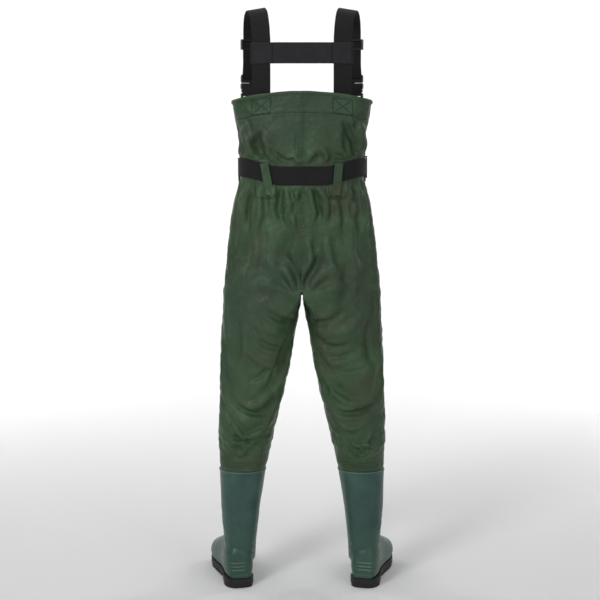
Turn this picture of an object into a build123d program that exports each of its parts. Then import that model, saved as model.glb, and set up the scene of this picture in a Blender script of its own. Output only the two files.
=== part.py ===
from build123d import *
import math
import os

# Chest waders, standing as worn: boots on the floor, wearer facing +Y, wearer's right at +X, +Z up.
# All lengths in millimetres. The origin is on the floor, under the centre of the bounding box.

# ---------------------------------------------------------------- driving dimensions
SHIFT_Y = -42.0           # moves everything so that the box is centred on the origin
WALL = 2.5                 # stand-in thickness of the coated cloth
WEB_W = 50.0               # webbing width, shoulder straps and belt
WEB_T = 1.8                # webbing thickness
TOP_Z = 1375.0             # highest point of the chest hem, centre back and front
TOP_DROP = 22.0            # the hem falls by this much at the sides
TOP_HALF = 190.0
HEM_ROLL = 8.0
CROTCH_Z = 800.0
HIP_LOW_Z = 620.0          # lower end of the hip flexing zone
HIP_PIVOT_Z = 710.0
KNEE_TOP_Z = 560.0         # upper end of the knee flexing zone
KNEE_PIVOT_Z = 470.0
KNEE_LOW_Z = 380.0
BOOT_TOP_Z = 328.0
BOOT_WALL = 3.0
BELT_Z = 1150.0
STRAP_TOP_Z = 1605.0
BACK_X, BACK_YAW = 109.0, 10.0      # shoulder strap behind: centre and yaw
FRONT_X, FRONT_YAW = 142.5, -25.0   # shoulder strap in front
BAND_Z0, BAND_Z1 = 1448.0, 1504.0   # the cross band of the H back
TOE_OUT = 11.5             # degrees each foot points outwards
HEEL_X, HEEL_Y = 172.0, -75.0
FOOT_LEN = 295.0
SOLE_TOP = 26.0
RELEASE = 28.0             # travel that takes a buckle's male half clear of the female half

# torso: (z, half width, half depth, corner power), straight between rows
TORSO = [(800, 219, 128, 2.6), (1096, 173, 110, 2.9), (1204, 173, 110, 2.9), (1400, 194, 118.5, 3.3)]
# leg: (z, outer x, inner x, half depth, centre y)
LEG = [(800, 218.5, 4.0, 127, 0), (620, 229.5, 35, 102, -2), (560, 231, 47.5, 95, -3), (380, 233, 92, 76, -2), (350, 232.3, 98, 71, -1)]
# boot shaft: (z, outer x, inner x, half depth, centre y)
SHAFT = [(328, 232.2, 101.5, 70, 0), (220, 229.5, 119, 60.5, -6), (115, 219, 131, 57, -14), (70, 217, 133, 58, -14)]

os.makedirs("parts", exist_ok=True)


def vec(x, y, z):
    return Vector(x, y, z)


def interp(rows, z, k):
    """Value k of the rows at height z, straight between rows."""
    rows = sorted(rows)
    if z <= rows[0][0]:
        return rows[0][k]
    for p, q in zip(rows, rows[1:]):
        if z <= q[0]:
            t = (z - p[0]) / (q[0] - p[0])
            return p[k] + t * (q[k] - p[k])
    return rows[-1][k]


def ring(cx, cy, z, a, b, n=2.5, count=16):
    """A closed superellipse curve as a wire."""
    pts = []
    for i in range(count):
        t = 2 * math.pi * (i + 0.5) / count
        c, s = math.cos(t), math.sin(t)
        pts.append(vec(cx + a * math.copysign(abs(c) ** (2 / n), c), cy + b * math.copysign(abs(s) ** (2 / n), s), z))
    return Wire([Edge.make_spline(pts, periodic=True)])


made = {}


def torso_body(d):
    """The torso's closed outer form grown by d."""
    if d not in made:
        made[d] = Solid.make_loft([ring(0, 0, z, a + d, b + d, n) for z, a, b, n in TORSO], True)
    return made[d]


def torso_y(x, z, d=0.0):
    """Half depth of the torso's outer face at x."""
    a, b, n = interp(TORSO, z, 1) + d, interp(TORSO, z, 2) + d, interp(TORSO, z, 3)
    return b * max(0.0, 1 - (abs(x) / a) ** n) ** (1 / n)


def leg_form(rows, d, zs, side=1, n=2.3):
    """A tube's closed form, straight between the heights given."""
    out = []
    for z in zs:
        o, i, b, cy = (interp(rows, z, k) for k in (1, 2, 3, 4))
        out.append(ring(side * (o + i) / 2, cy, z, (o - i) / 2 + d, b + d, n))
    return Solid.make_loft(out, True)


def block(x0, x1, y0, y1, z0, z1):
    return Pos((x0 + x1) / 2, (y0 + y1) / 2, (z0 + z1) / 2) * Box(x1 - x0, y1 - y0, z1 - z0)


def arch(z_top, height=200.0):
    """Everything above the arched line of the hem, whose middle is at z_top."""
    r = (TOP_HALF**2 + TOP_DROP**2) / (2 * TOP_DROP)
    w = 260.0
    drop = r - math.sqrt(r * r - w * w)
    edges = [
        Edge.make_three_point_arc((-w, 250, z_top - drop), (0, 250, z_top), (w, 250, z_top - drop)),
        Edge.make_line((w, 250, z_top - drop), (w, 250, z_top + height)),
        Edge.make_line((w, 250, z_top + height), (-w, 250, z_top + height)),
        Edge.make_line((-w, 250, z_top + height), (-w, 250, z_top - drop)),
    ]
    return extrude(Face(Wire(edges)), 500, dir=(0, -1, 0))


kept = {}


def keep(name, shape, mirrored=False):
    """Stores one node. A list makes one node of several solids."""
    solids = []
    for s in shape if isinstance(shape, (list, tuple)) else [shape]:
        solids += list(s.solids())
    assert solids, name
    kept[name] = solids


def both(name, shape):
    """Keeps the wearer's right piece and its mirror image on the left."""
    solids = []
    for s in shape if isinstance(shape, (list, tuple)) else [shape]:
        solids += list(s.solids())
    kept["right_" + name] = solids
    kept["left_" + name] = [s.mirror(Plane.YZ) for s in solids]


def slab(z0, z1):
    return block(-400, 400, -300, 300, z0, z1)


# ---------------------------------------------------------------- body of the waders
above = arch(TOP_Z - HEM_ROLL)
half = (torso_body(0) - torso_body(-WALL)) & block(0, 300, -300, 300, 700, 1500)
both("body_panel", half - above)

# rolled edge of the hem: a thicker ring on top of the wall
roll = (torso_body(1.4) - torso_body(-WALL - 1.4)) & slab(1330, 1390) & arch(TOP_Z - HEM_ROLL + 0.05)
keep("top_hem_roll", roll - arch(TOP_Z))

# turned-in facing of the hem, inside the wall
facing = (torso_body(-WALL - 0.9) - torso_body(-WALL - 1.9)) & slab(1270, 1380) & arch(TOP_Z - 55.0)
facing = (facing - arch(TOP_Z - HEM_ROLL - 1.0)) & block(0, 300, -300, 300, 1200, 1500)
keep("hem_facing", facing + facing.mirror(Plane.YZ))

# waterproof tapes welded over the centre seams, inside
tape = (torso_body(-WALL - 0.5) - torso_body(-WALL - 1.3)) & block(-11, 11, -200, 200, 806, 1316)
keep("back_seam_tape", tape & block(-20, 20, -200, 0, 700, 1400))
keep("front_seam_tape", tape & block(-20, 20, 0, 200, 700, 1400))

# gusset under the crotch, inside the torso's lower edge and between the two leg openings
plate = extrude(Face(ring(0, 0, CROTCH_Z + 0.3, 219 - WALL - 0.8, 128 - WALL - 0.8, 2.6)), 3.0, dir=(0, 0, 1))
plate = plate & block(-62, 62, -200, 200, 700, 900)
for side in (1, -1):
    plate = plate - extrude(Face(ring(side * 111.25, 0, 780, 107.25 - WALL, 127 - WALL, 2.3)), 40, dir=(0, 0, 1))
keep("crotch_gusset", max(plate.solids(), key=lambda q: q.volume))

# ---------------------------------------------------------------- legs
for name, z_hi, z_lo in (("hip_section", CROTCH_Z - 0.2, HIP_LOW_Z), ("thigh_section", HIP_LOW_Z, KNEE_TOP_Z), ("knee_section", KNEE_TOP_Z, KNEE_LOW_Z)):
    both(name, leg_form(LEG, 0, (z_hi, z_lo)) - leg_form(LEG, -WALL, (z_hi, z_lo)))

# cuff: the leg's last part, which narrows and runs down inside the boot's top
CUFF = [(380, 233, 92, 76, -2), (346, 232, 98.5, 71, -1), (334, 228.4, 105.1, 66.2, 0), (302, 227.7, 109.4, 64, -1)]
cuff_zs = [r[0] for r in CUFF]
both("shin_section", leg_form(CUFF, 0, cuff_zs) - leg_form(CUFF, -1.8, cuff_zs))

# ---------------------------------------------------------------- boots
foot_frame = Plane(origin=(HEEL_X, HEEL_Y, 0), x_dir=(math.sin(math.radians(TOE_OUT)), math.cos(math.radians(TOE_OUT)), 0), z_dir=(0, 0, 1))
# foot: (distance from the heel, half width, sideways shift towards the outer side, top z)
# in the foot's frame x runs to the toe; y runs to the inner side on the right foot
FOOT = [
    (-3, 20, 0, 80), (8, 34, 0, 114), (35, 40.5, 0, 130), (75, 41, 0, 132), (115, 41.5, 1, 127),
    (155, 45, 3, 113), (200, 50, 3.5, 95), (240, 48, 1, 83), (272, 38, -3, 70), (290, 21, -6, 55),
]


def foot_form(d, floor):
    """The foot's closed form. d grows it, floor is its underside."""
    wires = []
    for k, (u, w, shift, top) in enumerate(FOOT):
        if d < 0:
            u = max(min(u, 290 + d * 1.2), -3 - d)
        hw, t = w + d, top + d
        h = t - floor
        pts = []
        for i in range(14):
            ang = 2 * math.pi * (i + 0.5) / 14
            c, s = math.cos(ang), math.sin(ang)
            n = 3.4 if s < 0 else 2.3
            yy = hw * math.copysign(abs(c) ** (2 / n), c)
            zz = floor + h * 0.42 + (h * 0.58 * abs(s) ** (2 / n) if s > 0 else -h * 0.42 * abs(s) ** (2 / n))
            pts.append(foot_frame.from_local_coords(vec(u, -shift + yy, zz)))
        wires.append(Wire([Edge.make_spline(pts, periodic=True)]))
    return Solid.make_loft(wires)


shaft_zs = [r[0] for r in SHAFT]
boot_out = leg_form(SHAFT, 0, shaft_zs) + foot_form(0, SOLE_TOP - 3)
in_rows = [(340,) + SHAFT[0][1:]] + SHAFT
boot_in = leg_form(in_rows, -BOOT_WALL, [r[0] for r in in_rows]) + foot_form(-BOOT_WALL, SOLE_TOP + 1.0)
floor_cut = block(-400, 400, -400, 400, -50, SOLE_TOP + 0.2)
inner_cut = block(-400, 400, -400, 400, -50, SOLE_TOP + 3.6)
boot = (boot_out - floor_cut) - (boot_in - inner_cut)
both("boot_upper", max(boot.solids(), key=lambda q: q.volume))


def sole_outline(grow):
    """Closed outline of the sole in the foot's frame, as a face at z 0."""
    up = [(-6, 9), (0, 27), (18, 38.5), (50, 40.5), (90, 37.5), (125, 38.5), (165, 45), (200, 50), (235, 49), (265, 40), (285, 24)]
    down = [(285, -14), (266, -31), (235, -41), (200, -44.5), (165, -42), (125, -36), (90, -36), (50, -39.5), (18, -38), (0, -27), (-6, -9)]
    # outer side is at negative y in the right foot's frame
    pts = [(u, -w) for u, w in up] + [(292, -4)] + [(u, -w) for u, w in down]
    cx = 140.0
    out = []
    for u, w in pts:
        k = 1 + grow / max(40.0, math.hypot(u - cx, w))
        out.append(vec(cx + (u - cx) * k, w * (1 + grow / 42.0), 0))
    return Face(Wire([Edge.make_spline(out, periodic=True)]))


plate_s = extrude(sole_outline(1.0), SOLE_TOP - 9.0 - 0.0, dir=(0, 0, 1))
plate_s = Pos(0, 0, 9.0) * plate_s
tread = extrude(sole_outline(-0.5), 9.4, dir=(0, 0, 1))
tread = tread - block(86, 118, -80, 80, -5, 9.0)               # arch
for u in (22, 50):                                               # heel grooves
    tread = tread - block(u - 3.5, u + 3.5, -80, 80, -5, 6.5)
for u in (142, 168, 194, 220, 246, 270):                         # forefoot grooves
    tread = tread - block(u - 3.5, u + 3.5, -80, 80, -5, 6.5)
tread = tread - block(128, 262, -4, 4, -5, 6.5)
outsole = plate_s + tread
# raise the middle under the arch a little
outsole = outsole - block(88, 116, -80, 80, 5, 12)
outsole = outsole.moved(foot_frame.location)
both("outsole", outsole)

insole = foot_form(-BOOT_WALL - 1.0, SOLE_TOP + 2.2) & block(-400, 400, -400, 400, SOLE_TOP + 4.2, SOLE_TOP + 8.2)
both("insole", max(insole.solids(), key=lambda q: q.volume))


# ---------------------------------------------------------------- shoulder straps
def strip_loft(stations, width, thick):
    """A flat strip through stations of (centre, across, along)."""
    wires = []
    for c, e, t in stations:
        e, t = e.normalized(), t.normalized()
        n = e.cross(t).normalized()
        p = [c + e * (sx * width / 2) + n * (sy * thick / 2) for sx, sy in ((-1, -1), (1, -1), (1, 1), (-1, 1))]
        wires.append(Wire.make_polygon(p, close=True))
    return Solid.make_loft(wires, True)


def yawed(deg, roll=0.0):
    r, q = math.radians(deg), math.radians(roll)
    return vec(math.cos(r) * math.cos(q), math.sin(r) * math.cos(q), math.sin(q))


def plane_offset(x, yaw, front, z0, z1, grow, half=WEB_W / 2):
    """How far out a flat strip must stand to clear the torso, along its outward normal."""
    e = yawed(yaw)
    n = vec(-e.Y, e.X, 0) if front else vec(e.Y, -e.X, 0)
    best = -1e9
    for k in range(7):
        z = z0 + (z1 - z0) * k / 6
        for j in range(241):
            xx = x - 60 + j * 0.5
            yy = torso_y(xx, z, grow) * (1 if front else -1)
            if abs((xx - x) * e.X) < half + 6:
                best = max(best, xx * n.X + yy * n.Y)
    return best, n, e


# behind, the strap's end lies inside the back panel; its plane clears the facing
def inner_plane(x, yaw, z0, z1, grow):
    e = yawed(yaw)
    n = vec(e.Y, -e.X, 0)
    worst = 1e9
    for k in range(7):
        z = z0 + (z1 - z0) * k / 6
        for j in (-1.0, -0.75, -0.5, -0.25, 0, 0.25, 0.5, 0.75, 1.0):
            xx = x + j * (WEB_W / 2 + 0.5) * e.X
            yy = -torso_y(xx, z, grow)
            worst = min(worst, xx * n.X + yy * n.Y)
    return worst, n, e


off_b, n_b, e_b = inner_plane(BACK_X, BACK_YAW, 1318, 1375, -WALL - 1.4 - 0.4)
off_b -= WEB_T / 2 + 1.0
# centre of the strap behind: on the plane n.p = off_b at x = BACK_X
back_y = (off_b - BACK_X * n_b.X) / n_b.Y
off_f, n_f, e_f = plane_offset(FRONT_X, FRONT_YAW, True, 1300, 1375, 1.4)
off_f += 0.95 + 1.0
front_y = (off_f - FRONT_X * n_f.X) / n_f.Y
print("strap planes: back y %.3f front y %.3f" % (back_y, front_y))

up = vec(0, 0, 1)
st = [
    (vec(BACK_X, back_y, 1322), yawed(BACK_YAW), up),
    (vec(BACK_X, back_y, 1510), yawed(BACK_YAW), up),
]
arc = [  # x, share of the way from back to front, z, yaw, roll
    (110.5, 0.022, 1538, 9, -1), (113, 0.075, 1561, 7, -4), (116.5, 0.16, 1581, 4, -7), (120.5, 0.27, 1592.5, 1, -9),
    (125, 0.40, 1599.3, -3, -9.5), (129.5, 0.53, 1600, -8, -9.5), (133.5, 0.66, 1596.5, -13, -8), (137, 0.78, 1589, -18, -6),
    (139.8, 0.89, 1578, -22, -3.5), (141.8, 0.972, 1562, -24.5, -1.0),
]
cs = [vec(x, back_y + s * (front_y - back_y), z) for x, s, z, _, _ in arc]
chain = [st[1][0]] + cs + [vec(FRONT_X, front_y, 1549)]
for k, (x, s, z, yaw, rl) in enumerate(arc):
    st.append((cs[k], yawed(yaw, rl), chain[k + 2] - chain[k]))
st.append((vec(FRONT_X, front_y, 1549), yawed(FRONT_YAW), vec(0, 0, -1)))
st.append((vec(FRONT_X, front_y, 1478), yawed(FRONT_YAW), vec(0, 0, -1)))
both("shoulder_strap", strip_loft(st, WEB_W, WEB_T))

# ---------------------------------------------------------------- local frames for hardware
# local x: across the webbing, local y: outwards, local z: along the webbing, upwards
Z_REF = 1373.0   # height of the female half's reference on the bib
front_frame = Plane(origin=(FRONT_X, front_y, Z_REF), x_dir=e_f, z_dir=(0, 0, 1))
assert (front_frame.y_dir - n_f).length < 1e-6


def prism_yz(points, x0, x1):
    """Polygon given as (y, z), extruded along local x."""
    f = Face(Wire.make_polygon([(x0, y, z) for y, z in points], close=True))
    return extrude(f, x1 - x0, dir=(1, 0, 0))


def prism_xz(points, y0, y1):
    """Polygon given as (x, z), extruded along local y."""
    f = Face(Wire.make_polygon([(x, y0, z) for x, z in points], close=True))
    return extrude(f, y1 - y0, dir=(0, 1, 0))


def rounded(shape, r, pick=None):
    try:
        edges = shape.edges() if pick is None else pick(shape)
        return fillet(edges, r)
    except Exception:
        return shape


YM = 3.0     # the buckle's middle plane stands this far outside the webbing's main layer


def female_half():
    """Female half of a side-release buckle, mouth upwards at z 34, webbing bar at the bottom."""
    body = prism_xz([(-27, -14), (27, -14), (30.5, -9), (30.5, 5), (26, 7.5), (26, 17), (31, 18.2), (31, 31), (29, 34), (-29, 34), (-31, 31),
                     (-31, 18.2), (-26, 17), (-26, 7.5), (-30.5, 5), (-30.5, -9)], YM - 5.4, YM + 5.4)
    body = rounded(body, 1.6, lambda s: s.faces().sort_by(Axis.Y)[-1].edges() + s.faces().sort_by(Axis.Y)[0].edges())
    cavity = prism_xz([(-26.5, 6.4), (26.5, 6.4), (29.2, 17.0), (29.1, 18.0), (23.6, 35), (-23.6, 35), (-29.1, 18.0), (-29.2, 17.0)], YM - 3.1, YM + 3.1)
    body = body - cavity
    body = body - block(-26, 26, YM - 8, YM + 8, -9.2, -2.0)   # webbing slot
    # shallow panel on the face, and a finger notch at the mouth
    body = body - block(-17, 17, YM + 4.8, YM + 8, 4, 26)
    body = body - (Pos(0, YM, 36.5) * Rot(90, 0, 0) * Cylinder(9.0, 20))
    # bottom bar is slimmer than the body, so the webbing lies flat round it
    body = body - block(-26, 26, YM - 8, YM - 1.9, -16, -9.2) - block(-26, 26, YM + 1.9, YM + 8, -16, -9.2)
    return max(body.solids(), key=lambda s: s.volume)


def male_half():
    """Male half without its two arms: base with a webbing bar, and the guide tongue."""
    base = prism_xz([(-28.5, 35.0), (28.5, 35.0), (30.5, 37.5), (30.5, 55), (27.5, 58), (-27.5, 58), (-30.5, 55), (-30.5, 37.5)], YM - 4.6, YM + 4.6)
    base = rounded(base, 1.4, lambda s: s.faces().sort_by(Axis.Y)[-1].edges() + s.faces().sort_by(Axis.Y)[0].edges())
    base = base - block(-26, 26, YM - 8, YM + 8, 44.5, 52.2)
    base = base - block(-26, 26, YM - 8, YM - 1.9, 52.2, 60) - block(-26, 26, YM + 1.9, YM + 8, 52.2, 60)
    for sx in (1, -1):     # round seats that the arms bend in
        base = base - (Pos(sx * 20.5, YM, 32.6) * Rot(90, 0, 0) * Cylinder(3.2, 5.6))
    base = base - block(-24.5, -16.5, YM - 2.8, YM + 2.8, 34, 36.2) - block(16.5, 24.5, YM - 2.8, YM + 2.8, 34, 36.2)
    tongue = prism_xz([(-5.5, 35.4), (-4.6, 17.5), (-3, 16), (3, 16), (4.6, 17.5), (5.5, 35.4)], YM - 2.4, YM + 2.4)
    bars = base + tongue
    for z in (38.4, 41.2):  # grip ribs across the base
        bars = bars + block(-22, 22, YM + 4.0, YM + 5.1, z - 0.6, z + 0.6)
    return max(bars.solids(), key=lambda s: s.volume)


def male_arm():
    """One springy arm, at positive x, hinged at (20.5, 32.6)."""
    pts = [(18.9, 32.6), (18.7, 12.5), (19.8, 9.6), (22.5, 8.6), (27.0, 8.7), (29.2, 9.8), (30.2, 12.0), (29.9, 13.4), (29.5, 14.6), (28.7, 16.4),
           (26.4, 17.6), (24.1, 18.9), (22.5, 21.5), (22.1, 32.6)]
    arm = prism_xz(pts, YM - 2.5, YM + 2.5)
    return arm + (Pos(20.5, YM, 32.6) * Rot(90, 0, 0) * Cylinder(1.6, 5.0))


def slider_bar():
    """Three-bar slide: end bars behind the webbing, middle bar in front of it."""
    q = block(26.2, 31.2, -5.4, 6.0, -14.5, 14.5) + block(-31.2, -26.2, -5.4, 6.0, -14.5, 14.5)
    q = rounded(q, 1.3)
    q = q + block(-27, 27, -5.4, -3.4, 11.0, 14.2) + block(-27, 27, -5.4, -3.4, -14.2, -11.0)
    return q + block(-27, 27, 3.5, 5.9, -3.2, 3.2)


female, male, arm_r = female_half(), male_half(), male_arm()
arm_l = arm_r.mirror(Plane.YZ)
slide_bar = slider_bar()
H = WEB_W / 2


def place(shape, frame):
    return shape.moved(frame.location)


both("strap_buckle_female", place(female, front_frame))
both("strap_buckle_male", place(male, front_frame))
both("strap_buckle_outer_arm", place(arm_r, front_frame))
both("strap_buckle_inner_arm", place(arm_l, front_frame))
SLIDER_Z = 1514.0
both("strap_slider", place(slide_bar, Plane(origin=(FRONT_X, front_y, SLIDER_Z), x_dir=e_f, z_dir=(0, 0, 1))))
# front webbing: folded round the male half's bar; its two layers take the shoulder strap's end between them
tip = 1521 - Z_REF
loop_pts = [(-2.9, tip), (-2.9, 76), (-0.9, 62), (-0.9, 49.6), (YM + 4.1, 49.6), (YM + 4.1, 60), (2.9, 84), (2.9, tip),
            (1.3, tip), (1.3, 83), (YM + 2.3, 59), (YM + 2.3, 51.6), (0.9, 51.6), (0.9, 62.6), (-1.3, 77), (-1.3, tip)]
both("front_webbing", place(prism_yz(loop_pts, -H, H), front_frame))
# bib tab: webbing folded round the female half's bar and sewn to the bib
tab_pts = [(-0.95, -70), (-0.95, -6.9), (YM + 4.1, -6.9), (YM + 4.1, -15), (2.75, -22), (2.75, -70)]
tab = prism_yz(tab_pts, -H, H) - prism_yz([(0.9, -8.8), (YM + 2.2, -8.8), (YM + 2.2, -14.4), (0.9, -20)], -H - 1, H + 1)
both("bib_tab", place(tab, front_frame))

# ---------------------------------------------------------------- cross band: sleeves round both straps, joined behind the neck
CL = 0.45
bc = vec(BACK_X, back_y, 0)


def plan_box(c, e, w, t0, t1, n):
    """Rectangle in plan: w across along e, from t0 to t1 along n."""
    p = [c + e * (sx * w / 2) + n * t for sx, t in ((-1, t0), (1, t0), (1, t1), (-1, t1))]
    return [(q.X, q.Y) for q in p]


def plan_prism(points, z0, z1):
    return extrude(Face(Wire.make_polygon([(x, y, z0) for x, y in points], close=True)), z1 - z0, dir=(0, 0, 1))


sleeve_t = WEB_T / 2 + CL
outer_box = plan_box(bc, e_b, WEB_W + 2 * CL + 5.0, -(sleeve_t + 1.5), sleeve_t + 1.5, n_b)
inner_box = plan_box(bc, e_b, WEB_W + 2 * CL, -sleeve_t, sleeve_t, n_b)
edge_in = bc - e_b * ((WEB_W + 2 * CL + 5.0) / 2 - 2.4)
mid = [(edge_in.X + n_b.X * (sleeve_t + 1.5), edge_in.Y + n_b.Y * (sleeve_t + 1.5)), (0, edge_in.Y + n_b.Y * (sleeve_t + 1.5) - 3.0),
       (0, edge_in.Y + n_b.Y * (sleeve_t + 1.5)), (edge_in.X - n_b.X * (sleeve_t - 1.2), edge_in.Y - n_b.Y * (sleeve_t - 1.2))]
ry = edge_in.Y + n_b.Y * (sleeve_t + 1.5)
mid = [(edge_in.X, ry), (-1, ry), (-1, ry + 3.0), (edge_in.X, ry + 3.0)]
sleeve = plan_prism(outer_box, BAND_Z0, BAND_Z1)
mid_r = plan_prism(mid, BAND_Z0, BAND_Z1)
band = sleeve + mid_r
band = band + band.mirror(Plane.YZ)
for sgn in (1, -1):
    tool = plan_prism(inner_box, BAND_Z0 - 5, BAND_Z1 + 5)
    band = band - (tool if sgn > 0 else tool.mirror(Plane.YZ))
keep("cross_band", max(band.solids(), key=lambda s: s.volume))

# ---------------------------------------------------------------- belt
bz0, bz1 = BELT_Z - WEB_W / 2, BELT_Z + WEB_W / 2
BELT_IN = 1.6
belt = (torso_body(BELT_IN + WEB_T) - torso_body(BELT_IN)) & slab(bz0, bz1)
belt = belt - block(-36.0, 44.0, 0, 300, 1000, 1300)     # open in front, for the buckle
keep("belt_webbing", max(belt.solids(), key=lambda q: q.volume))

# belt buckle: its length runs along +X, with the male half on the wearer's right
belt_y = torso_y(0, BELT_Z) + 4.8
belt_frame = Plane(origin=(-20.0, belt_y, BELT_Z), x_dir=(0, 0, -1), z_dir=(1, 0, 0))
if belt_frame.y_dir.Y < 0:
    belt_frame = Plane(origin=(-20.0, belt_y, BELT_Z), x_dir=(0, 0, 1), z_dir=(1, 0, 0))
upper = belt_frame.x_dir.Z > 0
keep("belt_buckle_female", place(female, belt_frame))
keep("belt_buckle_male", place(male, belt_frame))
keep("belt_buckle_upper_arm", place(arm_r if upper else arm_l, belt_frame))
keep("belt_buckle_lower_arm", place(arm_l if upper else arm_r, belt_frame))
# webbing folded round the male half's bar; it lies over the belt's end
keep("belt_front_webbing", place(prism_yz([(-0.9, 76), (-0.9, 49.6), (YM + 4.1, 49.6), (YM + 4.1, 60), (2.9, 70), (2.9, 76), (1.3, 76), (1.3, 69.5), (YM + 2.3, 59),
                                           (YM + 2.3, 51.6), (0.9, 51.6), (0.9, 76)], -H, H), belt_frame))
# webbing folded round the female half's bar and sewn over the belt's other end
keep("belt_fixed_tab", place(prism_yz([(-0.5, -34), (-0.5, -6.9), (YM + 4.1, -6.9), (YM + 4.1, -15), (2.6, -24), (2.6, -34), (1.1, -34), (1.1, -22), (YM + 2.2, -14.6),
                                       (YM + 2.2, -8.8), (0.9, -8.8), (0.9, -34)], -H, H), belt_frame))
# three-bar slide on the belt at the wearer's right side
side_frame = Plane(origin=(173 + BELT_IN + WEB_T / 2, 0, BELT_Z), x_dir=(0, 0, -1), z_dir=(0, 1, 0))
if side_frame.y_dir.X < 0:
    side_frame = Plane(origin=side_frame.origin, x_dir=(0, 0, 1), z_dir=(0, 1, 0))
small = block(26.2, 30.5, -0.9, 5.6, -12, 12) + block(-30.5, -26.2, -0.9, 5.6, -12, 12)
small = rounded(small, 1.1)
for z in (-10.0, 0.0, 10.0):
    small = small + block(-27, 27, 2.8, 4.8, z - 1.6, z + 1.6)
keep("belt_slider", place(small, side_frame))

# belt loops, each on a welded patch
LOOPS = {"right_back": (88.0, -1), "left_back": (-88.0, -1), "right_front": (112.0, 1), "left_front": (-112.0, 1)}
patch_shell = torso_body(1.2) - torso_body(0.3)
bridge = torso_body(5.8) - torso_body(4.2)
stalk = torso_body(5.8) - torso_body(1.3)
patches = []
for name, (x, f) in LOOPS.items():
    y0, y1 = (0, 300) if f > 0 else (-300, 0)
    zone = rounded(block(x - 32, x + 32, y0, y1, 1099, 1201), 12, lambda q: q.edges().filter_by(Axis.Y))
    patches += list((patch_shell & zone).solids())
    lp = (bridge & block(x - 12, x + 12, y0, y1, 1102, 1196)) + (stalk & block(x - 12, x + 12, y0, y1, 1184, 1196)) + (stalk & block(x - 12, x + 12, y0, y1, 1102, 1114))
    keep(name + "_belt_loop", max(lp.solids(), key=lambda q: q.volume))
keep("belt_loop_patches", patches)

# ---------------------------------------------------------------- chest pocket with a hinged flap, in front
PW, PZ0, PZ1 = 78.0, 1215.0, 1332.0      # half width, bottom and flap hinge
pocket = (torso_body(15.5) - torso_body(0.4)) & block(-PW, PW, 0, 300, PZ0, PZ1 - 22)
hollow = (torso_body(14.0) - torso_body(1.6)) & block(-PW + 1.7, PW - 1.7, 0, 300, PZ0 + 1.8, PZ1 + 20)
keep("chest_pocket", max((pocket - hollow).solids(), key=lambda q: q.volume))
flap = (torso_body(18.8) - torso_body(17.1)) & block(-PW - 3, PW + 3, 0, 300, PZ1 - 68, PZ1 - 4)
keep("pocket_flap", max(flap.solids(), key=lambda q: q.volume))
anchor = (torso_body(2.0) - torso_body(0.4)) & block(-PW - 3, PW + 3, 0, 300, PZ1 - 18, PZ1 + 8)
keep("flap_anchor_strip", max(anchor.solids(), key=lambda q: q.volume))
keep("pocket_loop_strip", ((torso_body(16.2) - torso_body(15.6)) & block(-50, 50, 0, 300, PZ1 - 58, PZ1 - 33)).solids())
keep("flap_hook_strip", ((torso_body(17.0) - torso_body(16.4)) & block(-50, 50, 0, 300, PZ1 - 58, PZ1 - 33)).solids())

# ---------------------------------------------------------------- write
lo, hi = [1e9] * 3, [-1e9] * 3
for name, solids in kept.items():
    moved = [s.moved(Location((0, SHIFT_Y, 0))) for s in solids]
    shape = moved[0] if len(moved) == 1 else Compound(children=moved)
    bb = shape.bounding_box()
    for k, (m, M) in enumerate(((bb.min.X, bb.max.X), (bb.min.Y, bb.max.Y), (bb.min.Z, bb.max.Z))):
        lo[k], hi[k] = min(lo[k], m), max(hi[k], M)
    export_step(shape, f"parts/{name}.step")
print("nodes", len(kept), "box", [round(v, 2) for v in lo], [round(v, 2) for v in hi])
print("front_y", round(front_y, 3), "back_y", round(back_y, 3), "belt_y", round(belt_y, 3), "upper", upper)
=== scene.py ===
import bpy, bmesh, math
import numpy as np
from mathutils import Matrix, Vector, noise
from mathutils.bvhtree import BVHTree


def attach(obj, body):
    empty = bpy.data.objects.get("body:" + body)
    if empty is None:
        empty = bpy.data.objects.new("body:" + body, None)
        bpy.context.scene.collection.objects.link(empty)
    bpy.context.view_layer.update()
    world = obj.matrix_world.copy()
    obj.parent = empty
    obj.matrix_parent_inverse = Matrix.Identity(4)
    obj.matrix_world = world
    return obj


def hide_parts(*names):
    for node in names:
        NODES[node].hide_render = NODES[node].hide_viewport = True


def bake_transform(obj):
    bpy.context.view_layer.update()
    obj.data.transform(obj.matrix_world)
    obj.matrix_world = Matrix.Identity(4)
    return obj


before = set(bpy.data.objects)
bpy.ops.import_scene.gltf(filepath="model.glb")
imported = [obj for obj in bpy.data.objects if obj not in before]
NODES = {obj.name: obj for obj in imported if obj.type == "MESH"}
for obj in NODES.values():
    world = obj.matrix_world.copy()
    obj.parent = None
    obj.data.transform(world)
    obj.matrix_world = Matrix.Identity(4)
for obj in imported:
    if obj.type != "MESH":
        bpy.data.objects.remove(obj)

R = math.radians
DY = -0.042
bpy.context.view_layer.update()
rng = np.random.default_rng(7)
scene = bpy.context.scene
COL = scene.collection

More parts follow.
